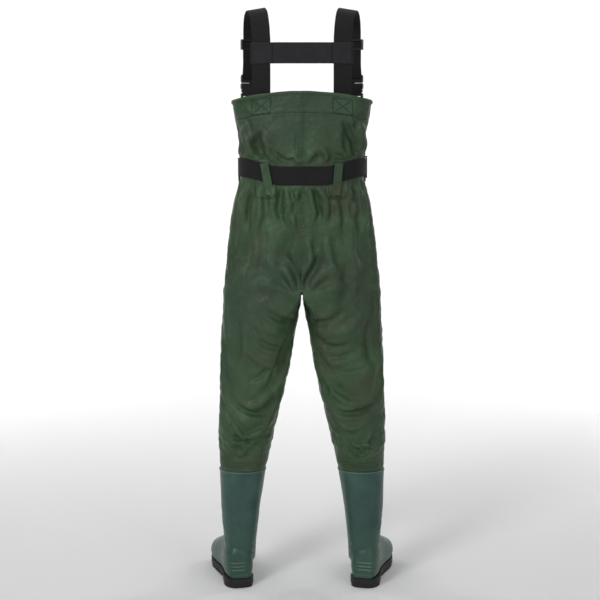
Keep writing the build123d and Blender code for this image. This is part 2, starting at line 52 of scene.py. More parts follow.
# ------------------------------------------------------------------ measured outline of the garment, in metres
TW = [(.795, .2190), (.802, .2195), (.836, .2165), (.870, .2145), (.903, .2105), (.937, .2075), (.970, .2038), (1.004, .2002), (1.037, .1958),
      (1.070, .1901), (1.087, .1858), (1.104, .1800), (1.120, .1755), (1.135, .1720), (1.150, .1712), (1.170, .1712), (1.185, .1722), (1.203, .1720), (1.219, .1738),
      (1.236, .1742), (1.252, .1762), (1.269, .1780), (1.285, .1806), (1.301, .1833), (1.318, .1862), (1.334, .1890), (1.351, .1915), (1.380, .1935)]
TD = [(.795, .131), (.85, .1315), (.90, .130), (.95, .127), (1.0, .123), (1.05, .118), (1.10, .1125), (1.15, .109), (1.20, .1095), (1.26, .113), (1.32, .1165), (1.38, .1185)]
TN = [(.795, 2.55), (1.0, 2.6), (1.15, 2.9), (1.26, 3.1), (1.38, 3.3)]
LC = [(.300, .1687), (.306, .1685), (.341, .1657), (.376, .1627), (.410, .1590), (.445, .1546), (.479, .1510), (.513, .1466), (.548, .1401), (.582, .1372), (.616, .1321), (.650, .1292),
      (.684, .1248), (.718, .1219), (.752, .1162), (.786, .1133), (.80, .1119), (.84, .1095)]
LR = [(.300, .0600), (.324, .0612), (.333, .0634), (.341, .0666), (.355, .0685), (.376, .0699), (.410, .0756), (.445, .0784), (.479, .0832), (.513, .0860), (.548, .0908), (.582, .0936), (.616, .0970),
      (.650, .0997), (.684, .1010), (.718, .1023), (.752, .1050), (.786, .1070), (.80, .1072), (.84, .1065)]
LD = [(.300, .0640), (.324, .0655), (.333, .0672), (.341, .0700), (.355, .0735), (.38, .077), (.42, .081), (.47, .086), (.56, .096), (.62, .103), (.70, .114), (.786, .127), (.80, .129)]
LCY = [(.30, -.001), (.38, -.002), (.47, -.004), (.62, -.002), (.70, 0), (.80, 0)]


def tab(rows, z):
    return np.interp(z, [r[0] for r in rows], [r[1] for r in rows])


def sstep(a, b, x):
    t = np.clip((x - a) / (b - a), 0, 1)
    return t * t * (3 - 2 * t)


def superring(a, b, n, count, start=-90.0, turn=1):
    """count points evenly spaced by arc length, from the angle start (degrees), going round by turn."""
    t = R(start) + turn * np.linspace(0, 2 * math.pi, 1441)
    c, s = np.cos(t), np.sin(t)
    x = a * np.sign(c) * np.abs(c) ** (2 / n)
    y = b * np.sign(s) * np.abs(s) ** (2 / n)
    d = np.concatenate([[0], np.cumsum(np.hypot(np.diff(x), np.diff(y)))])
    w = np.linspace(0, d[-1], count + 1)[:-1]
    return np.stack([np.interp(w, d, x), np.interp(w, d, y)], 1)


ZC = .846
N = 144
HALF = N // 2
MID = 31
L = HALF + 1 + MID


def hem_z(x):
    return 1.3745 - .0215 * (np.abs(x) / .19) ** 2.0


def belt_z(x, y):
    """Height of the belt's middle at a point of the waist (unshifted y)."""
    side = sstep(.055, .168, np.abs(x))
    back = np.where(y < 0, 1.0, .35)
    return 1.1495 + .0235 * side * back


# ------------------------------------------------------------------ the garment's sheet: torso rows, then two legs
T_ROWS = 74
pts, faces = [], []
torso_idx = np.zeros((T_ROWS, N), int)
for r in range(T_ROWS):
    t = r / (T_ROWS - 1)
    z0 = 1.366 + t * (ZC - 1.366)
    ring = superring(tab(TW, z0), tab(TD, z0), tab(TN, z0), N)
    for j in range(N):
        x, y = ring[j]
        top = hem_z(x)
        z = top + t * (ZC - top)
        # widths follow the vertex's own height
        k = tab(TW, z) / tab(TW, z0)
        ky = tab(TD, z) / tab(TD, z0)
        torso_idx[r, j] = len(pts)
        pts.append((x * k, y * ky, z))
for r in range(T_ROWS - 1):
    for j in range(N):
        a, b = torso_idx[r, j], torso_idx[r, (j + 1) % N]
        c, d = torso_idx[r + 1, (j + 1) % N], torso_idx[r + 1, j]
        faces.append((a, d, c, b))
last = torso_idx[-1]
front, back = last[HALF], last[0]
yb = abs(pts[back][1])
crotch = []
for m in range(MID):
    u = (m + 1) / (MID + 1)
    crotch.append(len(pts))
    y = yb * math.cos(math.pi * u) * (1 - .10 * math.sin(math.pi * u))
    y = yb * (1 - 2 * u)
    pts.append((0.0, y, ZC - .012 * math.sin(math.pi * u) ** .8))
L_ROWS = 66
leg_rows = {}
for side in (1, -1):
    if side > 0:
        loop = [last[j] for j in range(0, HALF + 1)] + crotch
    else:
        loop = [last[(N - j) % N] for j in range(0, HALF + 1)] + crotch
    rows = [loop]
    top_pts = np.array([pts[i] for i in loop])
    zs = list(np.linspace(ZC - .008, .302, L_ROWS - 1))
    for k, z in enumerate(zs):
        cx, rr, b, cy = tab(LC, z), tab(LR, z), tab(LD, z), tab(LCY, z)
        # index of the innermost point is the middle of the crotch line
        inner = HALF + 1 + MID // 2
        ring = superring(rr, b, 2.35, L, 180.0, 1)       # starts at the innermost point and runs to the back
        ring = np.roll(ring, inner, axis=0)
        p = np.zeros((L, 3))
        p[:, 0] = side * (cx + ring[:, 0])
        p[:, 1] = cy + ring[:, 1]
        p[:, 2] = z
        w = sstep(.0, .075, ZC - z)
        straight = top_pts.copy()
        straight[:, 2] -= (ZC - z)
        lean = straight.copy()
        lean[:, 0] += side * .0045 * min(1.0, (ZC - z) / .012)
        q = lean * (1 - w) + p * w
        q[:, 0] = side * np.maximum(side * q[:, 0], .0042 * min(1, (ZC - z) / .01))
        ids = []
        for i in range(L):
            ids.append(len(pts))
            pts.append(tuple(q[i]))
        rows.append(ids)
    for a_row, b_row in zip(rows, rows[1:]):
        for i in range(L):
            i2 = (i + 1) % L
            f = (a_row[i], b_row[i], b_row[i2], a_row[i2])
            faces.append(f if side > 0 else f[::-1])
    leg_rows[side] = rows
P = np.array(pts)
NV = len(P)
is_leg = np.zeros(NV)
for side in (1, -1):
    for ids in leg_rows[side][1:]:
        is_leg[ids] = side
fixed_top = torso_idx[0:2].ravel()

# ------------------------------------------------------------------ directed folds
RAD = np.zeros((NV, 3))
cxs = np.where(is_leg == 0, 0.0, is_leg * tab(LC, P[:, 2]))
RAD[:, 0] = (P[:, 0] - cxs) / np.where(is_leg == 0, tab(TW, P[:, 2]) ** 2, tab(LR, P[:, 2]) ** 2)
RAD[:, 1] = P[:, 1] / np.where(is_leg == 0, tab(TD, P[:, 2]) ** 2, tab(LD, P[:, 2]) ** 2)
RAD /= np.maximum(1e-9, np.linalg.norm(RAD, axis=1))[:, None]
D = np.zeros(NV)
# folds seen behind: (x0, z0, x1, z1, half width, height); negative is a crease
BACKF = [
    (-.060, 1.210, -.036, 1.180, .010, -.005), (-.036, 1.180, -.016, 1.196, .008, -.004), (-.016, 1.196, .000, 1.186, .009, .004), (-.075, 1.232, -.048, 1.188, .009, .004),
    (-.118, 1.262, -.104, 1.196, .012, -.006), (-.098, 1.255, -.088, 1.200, .011, .005), (-.150, 1.290, -.128, 1.205, .013, .005), (.118, 1.290, .140, 1.190, .010, -.006),
    (.100, 1.270, .118, 1.195, .011, .005), (.150, 1.300, .158, 1.205, .011, .005), (.030, 1.215, .012, 1.182, .010, .004), (-.168, 1.330, -.140, 1.255, .010, -.005),
    (.168, 1.330, .145, 1.270, .010, -.005), (.055, 1.225, .062, 1.182, .010, .004), (-.010, 1.260, -.004, 1.190, .006, -.003),
    # below the belt
    (-.038, 1.112, -.050, 1.030, .010, .006), (-.056, 1.110, -.052, 1.020, .010, -.006), (-.028, 1.110, -.030, 1.040, .008, -.004), (-.012, 1.112, -.018, 1.000, .009, .005),
    (.020, 1.112, .030, 1.030, .009, .005), (.034, 1.110, .050, 1.050, .009, -.005), (.052, 1.112, .064, 1.030, .011, .005), (-.130, 1.112, -.158, 1.020, .010, -.006),
    (-.118, 1.112, -.140, .990, .012, .006), (-.150, 1.118, -.176, 1.000, .012, .005), (.122, 1.112, .150, 1.030, .010, .006), (.138, 1.115, .170, 1.010, .010, -.005),
    (.152, 1.118, .182, 1.000, .012, .005), (-.088, 1.080, -.098, 1.000, .012, .004), (.088, 1.080, .096, 1.010, .012, .004),
    # seat, down to the crotch
    (-.030, .985, -.060, .880, .018, -.004), (.016, .980, .010, .880, .012, .003), (-.010, .838, -.100, .925, .015, .005), (.010, .838, .110, .915, .015, .005),
    (-.008, .850, -.060, .950, .011, -.004), (.010, .850, .070, .950, .011, -.004), (-.018, .822, -.140, .862, .014, .005), (.018, .822, .150, .856, .014, .005),
    (-.120, .960, -.150, .840, .018, .004), (.130, .960, .155, .840, .018, .004), (.07, .99, .09, .90, .016, .004),
    # thighs
    (-.025, .765, -.110, .800, .010, -.005), (.025, .765, .120, .790, .010, -.005), (-.045, .730, -.150, .775, .014, .005), (.045, .735, .160, .760, .014, .005),
    (-.060, .690, -.130, .720, .010, -.005), (.060, .700, .140, .706, .010, -.005), (-.070, .640, -.165, .690, .014, .005), (.075, .650, .180, .680, .013, .005),
    (-.100, .625, -.150, .600, .010, -.004), (.105, .620, .190, .640, .010, -.004), (-.195, .78, -.200, .62, .014, -.004), (.195, .78, .205, .62, .014, -.004),
    # knees and calves
    (-.085, .560, -.150, .520, .011, .005), (.090, .560, .170, .530, .011, .005), (-.100, .500, -.190, .530, .010, -.005), (.105, .505, .200, .520, .010, -.005),
    (-.110, .455, -.170, .430, .010, .005), (.115, .460, .180, .470, .010, .005), (-.195, .47, -.160, .405, .009, .005), (-.185, .432, -.135, .412, .007, -.005),
    (-.200, .412, -.120, .398, .008, .006), (-.120, .425, -.165, .385, .007, .005), (-.145, .380, -.190, .372, .007, -.004), (.125, .420, .165, .385, .007, -.005),
    (.135, .405, .215, .395, .008, .006), (.200, .440, .175, .400, .008, .005), (.190, .392, .145, .375, .007, -.004), (.120, .392, .160, .366, .007, .005),
    (-.205, .388, -.150, .362, .006, .004), (.210, .385, .170, .360, .006, .004),
]


def fold_field(X, Z, rows, narrow=1.0):
    out = np.zeros(len(X))
    for k, (x0, z0, x1, z1, w, h) in enumerate(rows):
        w = w * narrow
        dx, dz = x1 - x0, z1 - z0
        ln = math.hypot(dx, dz)
        ux, uz = dx / ln, dz / ln
        s = (X - x0) * ux + (Z - z0) * uz
        d = -(X - x0) * uz + (Z - z0) * ux
        bow = .10 * ln * (1 if k % 2 else -1)
        d = d - bow * np.sin(np.pi * np.clip(s / ln, 0, 1))
        along = sstep(-.25 * ln, .25 * ln, s) * (1 - sstep(.65 * ln, 1.15 * ln, s))
        e = d / w
        out += h * along * (np.exp(-e * e) - .45 * np.exp(-((e - 1.7) ** 2)) - .25 * np.exp(-((e + 1.9) ** 2)))
    return out


is_back = sstep(.02, -.03, P[:, 1]) if False else 1 - sstep(-.04, .02, P[:, 1])
D += fold_field(P[:, 0], P[:, 2], BACKF) * is_back
frontf = [(-a * .93 + .006, b + .012, -c * .93 + .004, d + .008, w, h * .9) for a, b, c, d, w, h in BACKF]
D += fold_field(P[:, 0], P[:, 2], frontf) * (1 - is_back)
# gathers at the belt
ang = np.arctan2(P[:, 1] / .11, P[:, 0] / .172)
zb = belt_z(P[:, 0], P[:, 1])
dist = P[:, 2] - zb
gath = np.sin(ang * 21 + 1.3 * np.sin(ang * 5 + .7)) * .6 + .4 * np.sin(ang * 34 + 2.1 * np.sin(ang * 3))
ramp = sstep(.022, .040, np.abs(dist)) * np.exp(-np.maximum(0, np.abs(dist) - .03) / np.where(dist < 0, .060, .040))
D += np.where(is_leg == 0, .0058 * gath * ramp, 0)
# bunching just above the boots
zz = P[:, 2]
langle = np.arctan2(P[:, 1], P[:, 0] - cxs)
bunch = np.sin((zz * 2 * math.pi / .021) + 1.5 * np.sin(langle * 2 + is_leg) + .8 * np.sin(langle * 5)) * sstep(.338, .352, zz) * (1 - sstep(.385, .45, zz))
D += np.where(is_leg != 0, .0009 * bunch, 0)
low = np.array([noise.fractal(Vector((p[0] * 9, p[1] * 9, p[2] * 6)), 1.0, 2.0, 4) for p in P])
free = sstep(0, .03, hem_z(P[:, 0]) - P[:, 2]) * sstep(.030, .048, np.abs(dist)) * np.where(is_leg != 0, sstep(.335, .36, zz), 1)
flank_d = 1 - .65 * sstep(.80, .97, np.abs(RAD[:, 0]))
D = D * 1.15 * free * flank_d + low * .0050 * free * flank_d
start = P + RAD * D[:, None]

# ------------------------------------------------------------------ cloth simulation
me = bpy.data.meshes.new("garment")
me.from_pydata([(p[0], p[1] + DY, p[2]) for p in start], [], faces)
me.update()
gar = bpy.data.objects.new("garment", me)
COL.objects.link(gar)
pat = me.attributes.new("pat", "FLOAT_VECTOR", "POINT")
pat.data.foreach_set("vector", P.astype(np.float32).ravel())
vg = gar.vertex_groups.new(name="pin")
near_belt = 1 - sstep(.024, .040, np.abs(dist))
wts = np.where(is_leg == 0, near_belt, 0)
wts = np.maximum(wts, 1 - sstep(.006, .05, hem_z(P[:, 0]) - P[:, 2]) * 1.0)
wts = np.maximum(wts, np.where(is_leg != 0, 1 - sstep(.350, .405, zz), 0))
flank = sstep(.80, .97, np.abs(RAD[:, 0]))
wts = np.maximum(wts, .30 * flank)
wts = np.maximum(wts, np.where(is_leg != 0, .30 * (1 - sstep(.40, .52, zz)), 0))
wts = np.clip(wts, .035, 1)
for i in range(NV):
    vg.add([i], float(wts[i]), "REPLACE")
md = gar.modifiers.new("cloth", "CLOTH")
cs = md.settings
cs.quality = 6
cs.mass = .25
cs.tension_stiffness = cs.compression_stiffness = 18
cs.shear_stiffness = 8
cs.bending_stiffness = .9
cs.tension_damping = cs.compression_damping = 6
cs.air_damping = 3
cs.vertex_group_mass = "pin"
cs.pin_stiffness = 1.0
cs.shrink_min = -.016
cs.use_pressure = True
cs.uniform_pressure_force = .10
cs.effector_weights.gravity = .35
md.collision_settings.use_collision = False
md.collision_settings.use_self_collision = False
FRAMES = 34
scene.frame_start, scene.frame_end = 1, FRAMES
md.point_cache.frame_start, md.point_cache.frame_end = 1, FRAMES
for f in range(1, FRAMES + 1):
    scene.frame_set(f)
dg = bpy.context.evaluated_depsgraph_get()
ev = gar.evaluated_get(dg)
co = np.zeros(NV * 3, np.float32)
ev.data.vertices.foreach_get("co", co)
co = co.reshape(-1, 3).astype(float)
gar.modifiers.remove(md)
base = start + np.array([0, DY, 0])
delta = co - base
ln = np.linalg.norm(delta, axis=1)
print("sim moved", ln.mean(), ln.max())
cap = .012
delta *= np.minimum(1, cap / np.maximum(ln, 1e-9))[:, None]
co = base + delta
# keep each leg on its own side of the middle
for s in (1, -1):
    m = is_leg == s
    co[m, 0] = s * np.maximum(s * co[m, 0], .0025)
me.vertices.foreach_set("co", co.astype(np.float32).ravel())
me.update()
scene.frame_set(1)

for p in me.polygons:
    p.use_smooth = True
sub = gar.modifiers.new("sub", "SUBSURF")
sub.levels = sub.render_levels = 1
dg = bpy.context.evaluated_depsgraph_get()
fine = bpy.data.meshes.new_from_object(gar.evaluated_get(dg))
fine.name = "garment_fine"
bpy.data.objects.remove(gar)


def mesh_arrays(m):
    v = np.zeros(len(m.vertices) * 3, np.float32)
    m.vertices.foreach_get("co", v)
    n = np.zeros(len(m.vertices) * 3, np.float32)
    m.vertices.foreach_get("normal", n)
    return v.reshape(-1, 3).astype(float), n.reshape(-1, 3).astype(float)


V, VN = mesh_arrays(fine)
PV = np.zeros(len(fine.vertices) * 3, np.float32)
fine.attributes["pat"].data.foreach_get("vector", PV)
PV = PV.reshape(-1, 3).astype(float)
# the folds' crisp part, soft undulations and small crumples, which the simulation's coarser mesh can't hold
leg_f = PV[:, 2] < ZC - .0005
bk = 1 - sstep(-.04, .02, PV[:, 1])
crisp = (fold_field(PV[:, 0], PV[:, 2], BACKF, .78) * bk + fold_field(PV[:, 0], PV[:, 2], frontf, .78) * (1 - bk)) * (.55 + .35 * sstep(.44, .50, PV[:, 2]))
dist_f = PV[:, 2] - belt_z(PV[:, 0], PV[:, 1])
ang_f = np.arctan2(PV[:, 1] / .11, PV[:, 0] / .172)
gath_f = np.sin(ang_f * 21 + 1.3 * np.sin(ang_f * 5 + .7)) * .6 + .4 * np.sin(ang_f * 34 + 2.1 * np.sin(ang_f * 3))
ramp_f = sstep(.022, .040, np.abs(dist_f)) * np.exp(-np.maximum(0, np.abs(dist_f) - .03) / np.where(dist_f < 0, .055, .034))
free_f = sstep(.052, .085, hem_z(PV[:, 0]) - PV[:, 2]) * sstep(.028, .042, np.abs(dist_f)) * np.where(leg_f, sstep(.332, .350, PV[:, 2]), 1)
mid = np.array([noise.fractal(Vector((p[0] * 15, p[1] * 15, p[2] * 10)), .9, 2.1, 3) for p in V])
ridge = np.array([1 - 2 * abs(noise.noise(Vector((p[0] * 11 + 3, p[1] * 11, p[2] * 8 + 1)))) for p in V])
dn = np.array([noise.fractal(Vector((p[0] * 42, p[1] * 42, p[2] * 30)), .9, 2.1, 3) for p in V])
flank_f = 1 - .6 * sstep(.80, .97, np.abs(VN[:, 0]))
V = V + VN * ((crisp * 1.15 * flank_f + np.where(leg_f, 0, .0022) * gath_f * ramp_f + mid * .0026 * flank_f + (ridge - .5) * .0026 * flank_f) * free_f + dn * .0006)[:, None]
# centre seam: a raised, puckered ridge behind and in front
sx = np.abs(PV[:, 0])
on_t = (PV[:, 2] > ZC + .002)
V = V + VN * (np.exp(-(sx / .0050) ** 2) * .0010 * on_t)[:, None]
for s_ in (1, -1):
    side_ = leg_f & (s_ * PV[:, 0] > 0)
    V[side_, 0] = s_ * np.maximum(s_ * V[side_, 0], .0022)
fine.vertices.foreach_set("co", V.astype(np.float32).ravel())
fine.update()
V, VN = mesh_arrays(fine)
FV = np.array([list(p.vertices) for p in fine.polygons])
BVH = BVHTree.FromPolygons([Vector(v) for v in V], [list(map(int, f)) for f in FV])


def sub_mesh(name, face_mask):
    """A piece cut out of the garment, keeping the whole garment's normals so that cuts don't show."""
    used = np.unique(FV[face_mask])
    remap = -np.ones(len(V), int)
    remap[used] = np.arange(len(used))
    m = bpy.data.meshes.new(name)
    m.from_pydata([tuple(v) for v in V[used]], [], [tuple(int(remap[i]) for i in f) for f in FV[face_mask]])
    m.update()
    a = m.attributes.new("pat", "FLOAT_VECTOR", "POINT")
    a.data.foreach_set("vector", PV[used].astype(np.float32).ravel())
    for p in m.polygons:
        p.use_smooth = True
    m.normals_split_custom_set_from_vertices([tuple(n) for n in VN[used]])
    o = bpy.data.objects.new(name, m)
    COL.objects.link(o)
    return o


FC = V[FV].mean(1)
PC = PV[FV].mean(1)
right = PC[:, 0] > 0
low_leg = PC[:, 2] < .59
gp = {}
for s, m in (("right", right), ("left", ~right)):
    gp[s + "_upper"] = sub_mesh(s + "_wader_upper", m & ~low_leg)
    gp[s + "_lower"] = sub_mesh(s + "_wader_lower", m & low_leg)

# ------------------------------------------------------------------ materials


def new_mat(name):
    m = bpy.data.materials.new(name)
    m.use_nodes = True
    nt = m.node_tree
    return m, nt, nt.nodes["Principled BSDF"]


def lin(r, g, b):
    f = lambda c: ((c / 255 + .055) / 1.055) ** 2.4 if c > 10 else c / 255 / 12.92
    return (f(r), f(g), f(b), 1)


def node(nt, kind, **kw):
    n = nt.nodes.new(kind)
    for k, v in kw.items():
        setattr(n, k, v)
    return n


def tex_noise(nt, vec, scale, detail=3, rough=.55, dist=0.0):
    n = node(nt, "ShaderNodeTexNoise")
    n.inputs["Scale"].default_value = scale
    n.inputs["Detail"].default_value = detail
    n.inputs["Roughness"].default_value = rough
    n.inputs["Distortion"].default_value = dist
    nt.links.new(vec, n.inputs["Vector"])
    return n.outputs["Fac"]


def ramp_node(nt, fac, stops):
    r = node(nt, "ShaderNodeValToRGB")
    el = r.color_ramp.elements
    while len(el) > 1:
        el.remove(el[-1])
    el[0].position, el[0].color = stops[0]
    for pos, c in stops[1:]:
        e = el.new(pos)
        e.color = c
    nt.links.new(fac, r.inputs["Fac"])
    return r.outputs["Color"]


def math_node(nt, op, a, b=None, c=None, clamp=False):
    n = node(nt, "ShaderNodeMath", operation=op, use_clamp=clamp)
    for k, v in enumerate((a, b, c)):
        if v is None:
            continue
        if isinstance(v, (int, float)):
            n.inputs[k].default_value = v
        else:
            nt.links.new(v, n.inputs[k])
    return n.outputs[0]


def mixc(nt, fac, a, b, kind="MIX"):
    n = node(nt, "ShaderNodeMix", data_type="RGBA", blend_type=kind)
    for k, v in ((0, fac), (6, a), (7, b)):
        if isinstance(v, (int, float, tuple)):
            n.inputs[k].default_value = v
        else:
            nt.links.new(v, n.inputs[k])
    return n.outputs[2]


def bump(nt, height, strength, distance, prev=None):
    b = node(nt, "ShaderNodeBump")
    b.inputs["Strength"].default_value = strength
    b.inputs["Distance"].default_value = distance
    nt.links.new(height, b.inputs["Height"])
    if prev is not None:
        nt.links.new(prev, b.inputs["Normal"])
    return b.outputs["Normal"]


def maprange(nt, v, a, b, c=0.0, d=1.0, smooth=True):
    n = node(nt, "ShaderNodeMapRange", interpolation_type="SMOOTHSTEP" if smooth else "LINEAR")
    nt.links.new(v, n.inputs[0])
    for k, x in zip((1, 2, 3, 4), (a, b, c, d)):
        n.inputs[k].default_value = x
    return n.outputs[0]


def line_mask(nt, v, at, half, soft=.0008):
    """1 within half of the value at."""
    d = math_node(nt, "ABSOLUTE", math_node(nt, "SUBTRACT", v, at))
    return maprange(nt, d, half, half + soft, 1, 0)


def fabric_material(name, lines=True):
    m, nt, bs = new_mat(name)
    tc = node(nt, "ShaderNodeTexCoord")
    obj = tc.outputs["Object"]
    n1 = tex_noise(nt, obj, 5.5, 3, .6, .6)
    n2 = tex_noise(nt, obj, 11, 4, .6, .3)
    n3 = tex_noise(nt, obj, 2.6, 2, .5, .2)
    base = ramp_node(nt, n1, [(.28, lin(42, 58, 39)), (.44, lin(57, 80, 55)), (.57, lin(68, 95, 65)), (.74, lin(82, 110, 80))])
    olive = mixc(nt, maprange(nt, n2, .44, .66, 0, .70), base, lin(70, 78, 60))
    cool = mixc(nt, maprange(nt, n3, .46, .68, 0, .60), olive, lin(56, 75, 63))
    fine = tex_noise(nt, obj, 900, 2, .5)
    col = mixc(nt, .10, cool, ramp_node(nt, fine, [(.3, (.015, .024, .015, 1)), (.7, (.11, .16, .10, 1))]), "MIX")
    height = tex_noise(nt, obj, 1400, 2, .5)
    crump = tex_noise(nt, obj, 120, 3, .6, .4)
    nrm = bump(nt, tex_noise(nt, obj, 28, 3, .55, .5), .70, .0080)
    # long thin creases where the coating has been folded
    cr = math_node(nt, "ABSOLUTE", math_node(nt, "SUBTRACT", tex_noise(nt, obj, 7.5, 2, .55, .9), .5))
    cr2 = math_node(nt, "ABSOLUTE", math_node(nt, "SUBTRACT", tex_noise(nt, obj, 13, 2, .6, .7), .52))
    where = tex_noise(nt, obj, 4.2, 2, .5)
    crs = math_node(nt, "MULTIPLY", math_node(nt, "ADD", maprange(nt, cr, 0, .035, 1, 0), maprange(nt, cr2, 0, .04, .7, 0)), maprange(nt, where, .44, .60))
    nrm = bump(nt, crs, .20, .0020, nrm)
    nrm = bump(nt, crump, .30, .0012, nrm)
    nrm = bump(nt, height, .18, .0004, nrm)
    if lines:
        at = node(nt, "ShaderNodeAttribute", attribute_name="pat")
        sep = node(nt, "ShaderNodeSeparateXYZ")
        nt.links.new(at.outputs["Vector"], sep.inputs[0])
        X, Y, Z = sep.outputs
        ax = math_node(nt, "ABSOLUTE", X)
        # distance below the hem
        hz = math_node(nt, "SUBTRACT", 1.3745, math_node(nt, "MULTIPLY", math_node(nt, "MULTIPLY", ax, ax), .0215 / .19 ** 2))
        down = math_node(nt, "SUBTRACT", hz, Z)
        is_t = maprange(nt, Z, .848, .851)
        rear = maprange(nt, Y, .0, -.02)
        # stitched dashes along a line
        dash = maprange(nt, math_node(nt, "FRACT", math_node(nt, "DIVIDE", X, .0042)), .30, .42)
        dashz = maprange(nt, math_node(nt, "FRACT", math_node(nt, "DIVIDE", Z, .0042)), .30, .42)
        hem_line = math_node(nt, "MULTIPLY", line_mask(nt, down, .055, .0006), 1.0)
        hem_groove = line_mask(nt, down, .055, .0018, .003)
        seam_in = line_mask(nt, ax, .0, .0006)
        seam_edge = math_node(nt, "MULTIPLY", math_node(nt, "MULTIPLY", line_mask(nt, ax, .0055, .0004), dashz), .55)
        pucker_mask = math_node(nt, "MULTIPLY", maprange(nt, ax, .003, .017, 1, 0), is_t)
        wv = node(nt, "ShaderNodeTexNoise")
        mp = node(nt, "ShaderNodeMapping")
        mp.inputs["Scale"].default_value = (38, 38, 120)
        nt.links.new(obj, mp.inputs["Vector"])
        nt.links.new(mp.outputs[0], wv.inputs["Vector"])
        wv.inputs["Scale"].default_value = 1.0
        wv.inputs["Detail"].default_value = 2
        pucker = math_node(nt, "MULTIPLY", wv.outputs["Fac"], pucker_mask)
        nrm = bump(nt, pucker, 1.0, .0030, nrm)
        # pucker along the hem's stitch line
        hp = math_node(nt, "MULTIPLY", tex_noise(nt, obj, 110, 2, .5), maprange(nt, math_node(nt, "ABSOLUTE", math_node(nt, "SUBTRACT", down, .055)), .002, .012, 1, 0))
        nrm = bump(nt, hp, .8, .0022, nrm)
        # X boxes where the straps are sewn on behind
        boxx = math_node(nt, "SUBTRACT", ax, .109)
        bx = math_node(nt, "ABSOLUTE", boxx)
        bz = math_node(nt, "SUBTRACT", down, .033)
        inb = math_node(nt, "MULTIPLY", maprange(nt, bx, .0265, .0275, 1, 0), maprange(nt, math_node(nt, "ABSOLUTE", bz), .0205, .0215, 1, 0))
        inb = math_node(nt, "MULTIPLY", inb, rear)
        edge = math_node(nt, "MAXIMUM", line_mask(nt, bx, .0255, .0007), line_mask(nt, math_node(nt, "ABSOLUTE", bz), .0195, .0007))
        dg1 = math_node(nt, "SUBTRACT", math_node(nt, "MULTIPLY", boxx, .765), bz)
        dg2 = math_node(nt, "ADD", math_node(nt, "MULTIPLY", boxx, .765), bz)
        diag = math_node(nt, "MAXIMUM", line_mask(nt, dg1, .0, .0009), line_mask(nt, dg2, .0, .0009))
        xbox = math_node(nt, "MULTIPLY", math_node(nt, "MAXIMUM", edge, diag), inb)
        nrm = bump(nt, math_node(nt, "SUBTRACT", math_node(nt, "MULTIPLY", inb, .6), xbox), .9, .0016, nrm)
        # cuff stitch rows above each boot
        cuff = math_node(nt, "MAXIMUM", line_mask(nt, Z, .3475, .0006), line_mask(nt, Z, .3405, .0006))
        cuff = math_node(nt, "MAXIMUM", cuff, line_mask(nt, Z, .3545, .0006))
        legz = maprange(nt, Z, .36, .362, 1, 0)
        cuff = math_node(nt, "MULTIPLY", cuff, legz)
        dark = math_node(nt, "MAXIMUM", math_node(nt, "MULTIPLY", math_node(nt, "MAXIMUM", hem_line, math_node(nt, "MULTIPLY", xbox, .8)), is_t), math_node(nt, "MULTIPLY", math_node(nt, "MAXIMUM", seam_edge, seam_in), is_t))
        dark = math_node(nt, "MAXIMUM", dark, math_node(nt, "MULTIPLY", cuff, .7))
        groove = math_node(nt, "MULTIPLY", math_node(nt, "MAXIMUM", hem_groove, math_node(nt, "MULTIPLY", line_mask(nt, ax, .0055, .0009), .45)), is_t)
        groove = math_node(nt, "MAXIMUM", groove, math_node(nt, "MULTIPLY", cuff, 1.0))
        nrm = bump(nt, math_node(nt, "SUBTRACT", 1.0, groove), 1.0, .0012, nrm)
        col = mixc(nt, math_node(nt, "MULTIPLY", dark, .62), col, lin(24, 36, 24))
    nt.links.new(col, bs.inputs["Base Color"])
    ro = ramp_node(nt, tex_noise(nt, obj, 30, 3), [(.3, (.42, .42, .42, 1)), (.7, (.54, .54, .54, 1))])
    nt.links.new(ro, bs.inputs["Roughness"])
    nt.links.new(nrm, bs.inputs["Normal"])
    bs.inputs["Specular IOR Level"].default_value = .28
    return m


FAB = fabric_material("coated_cloth")
FAB2 = fabric_material("coated_cloth_plain", False)


def webbing_material(name, c0, c1):
    m, nt, bs = new_mat(name)
    uv = node(nt, "ShaderNodeUVMap", uv_map="UVMap")
    sep = node(nt, "ShaderNodeSeparateXYZ")
    nt.links.new(uv.outputs[0], sep.inputs[0])
    U, W = sep.outputs[0], sep.outputs[1]
    # ribs across, with ends offset like a plain weave; UV is in metres
    a = math_node(nt, "SINE", math_node(nt, "MULTIPLY", W, 2 * math.pi / .0016))
    b = math_node(nt, "SINE", math_node(nt, "MULTIPLY", U, 2 * math.pi / .0021))
    h = math_node(nt, "MULTIPLY", a, b)
    tc = node(nt, "ShaderNodeTexCoord")
    sp = tex_noise(nt, tc.outputs["Object"], 650, 2, .6)
    sp2 = tex_noise(nt, tc.outputs["Object"], 25, 3, .6)
    hh = math_node(nt, "ADD", math_node(nt, "MULTIPLY", h, .5), math_node(nt, "MULTIPLY", sp, 1.2))
    nrm = bump(nt, hh, .55, .0005)
    c = mixc(nt, maprange(nt, hh, .0, 1.1), c0, c1)
    c = mixc(nt, maprange(nt, sp2, .4, .7, 0, .35), c, c0)
    nt.links.new(c, bs.inputs["Base Color"])
    nt.links.new(nrm, bs.inputs["Normal"])
    r = ramp_node(nt, sp, [(.3, (.72, .72, .72, 1)), (.7, (.88, .88, .88, 1))])
    nt.links.new(r, bs.inputs["Roughness"])
    bs.inputs["Sheen Weight"].default_value = .06
    bs.inputs["Specular IOR Level"].default_value = .22
    return m


WEB = webbing_material("webbing_black", lin(22, 22, 23), lin(40, 40, 42))
BAND = webbing_material("webbing_charcoal", lin(34, 34, 36), lin(54, 54, 57))


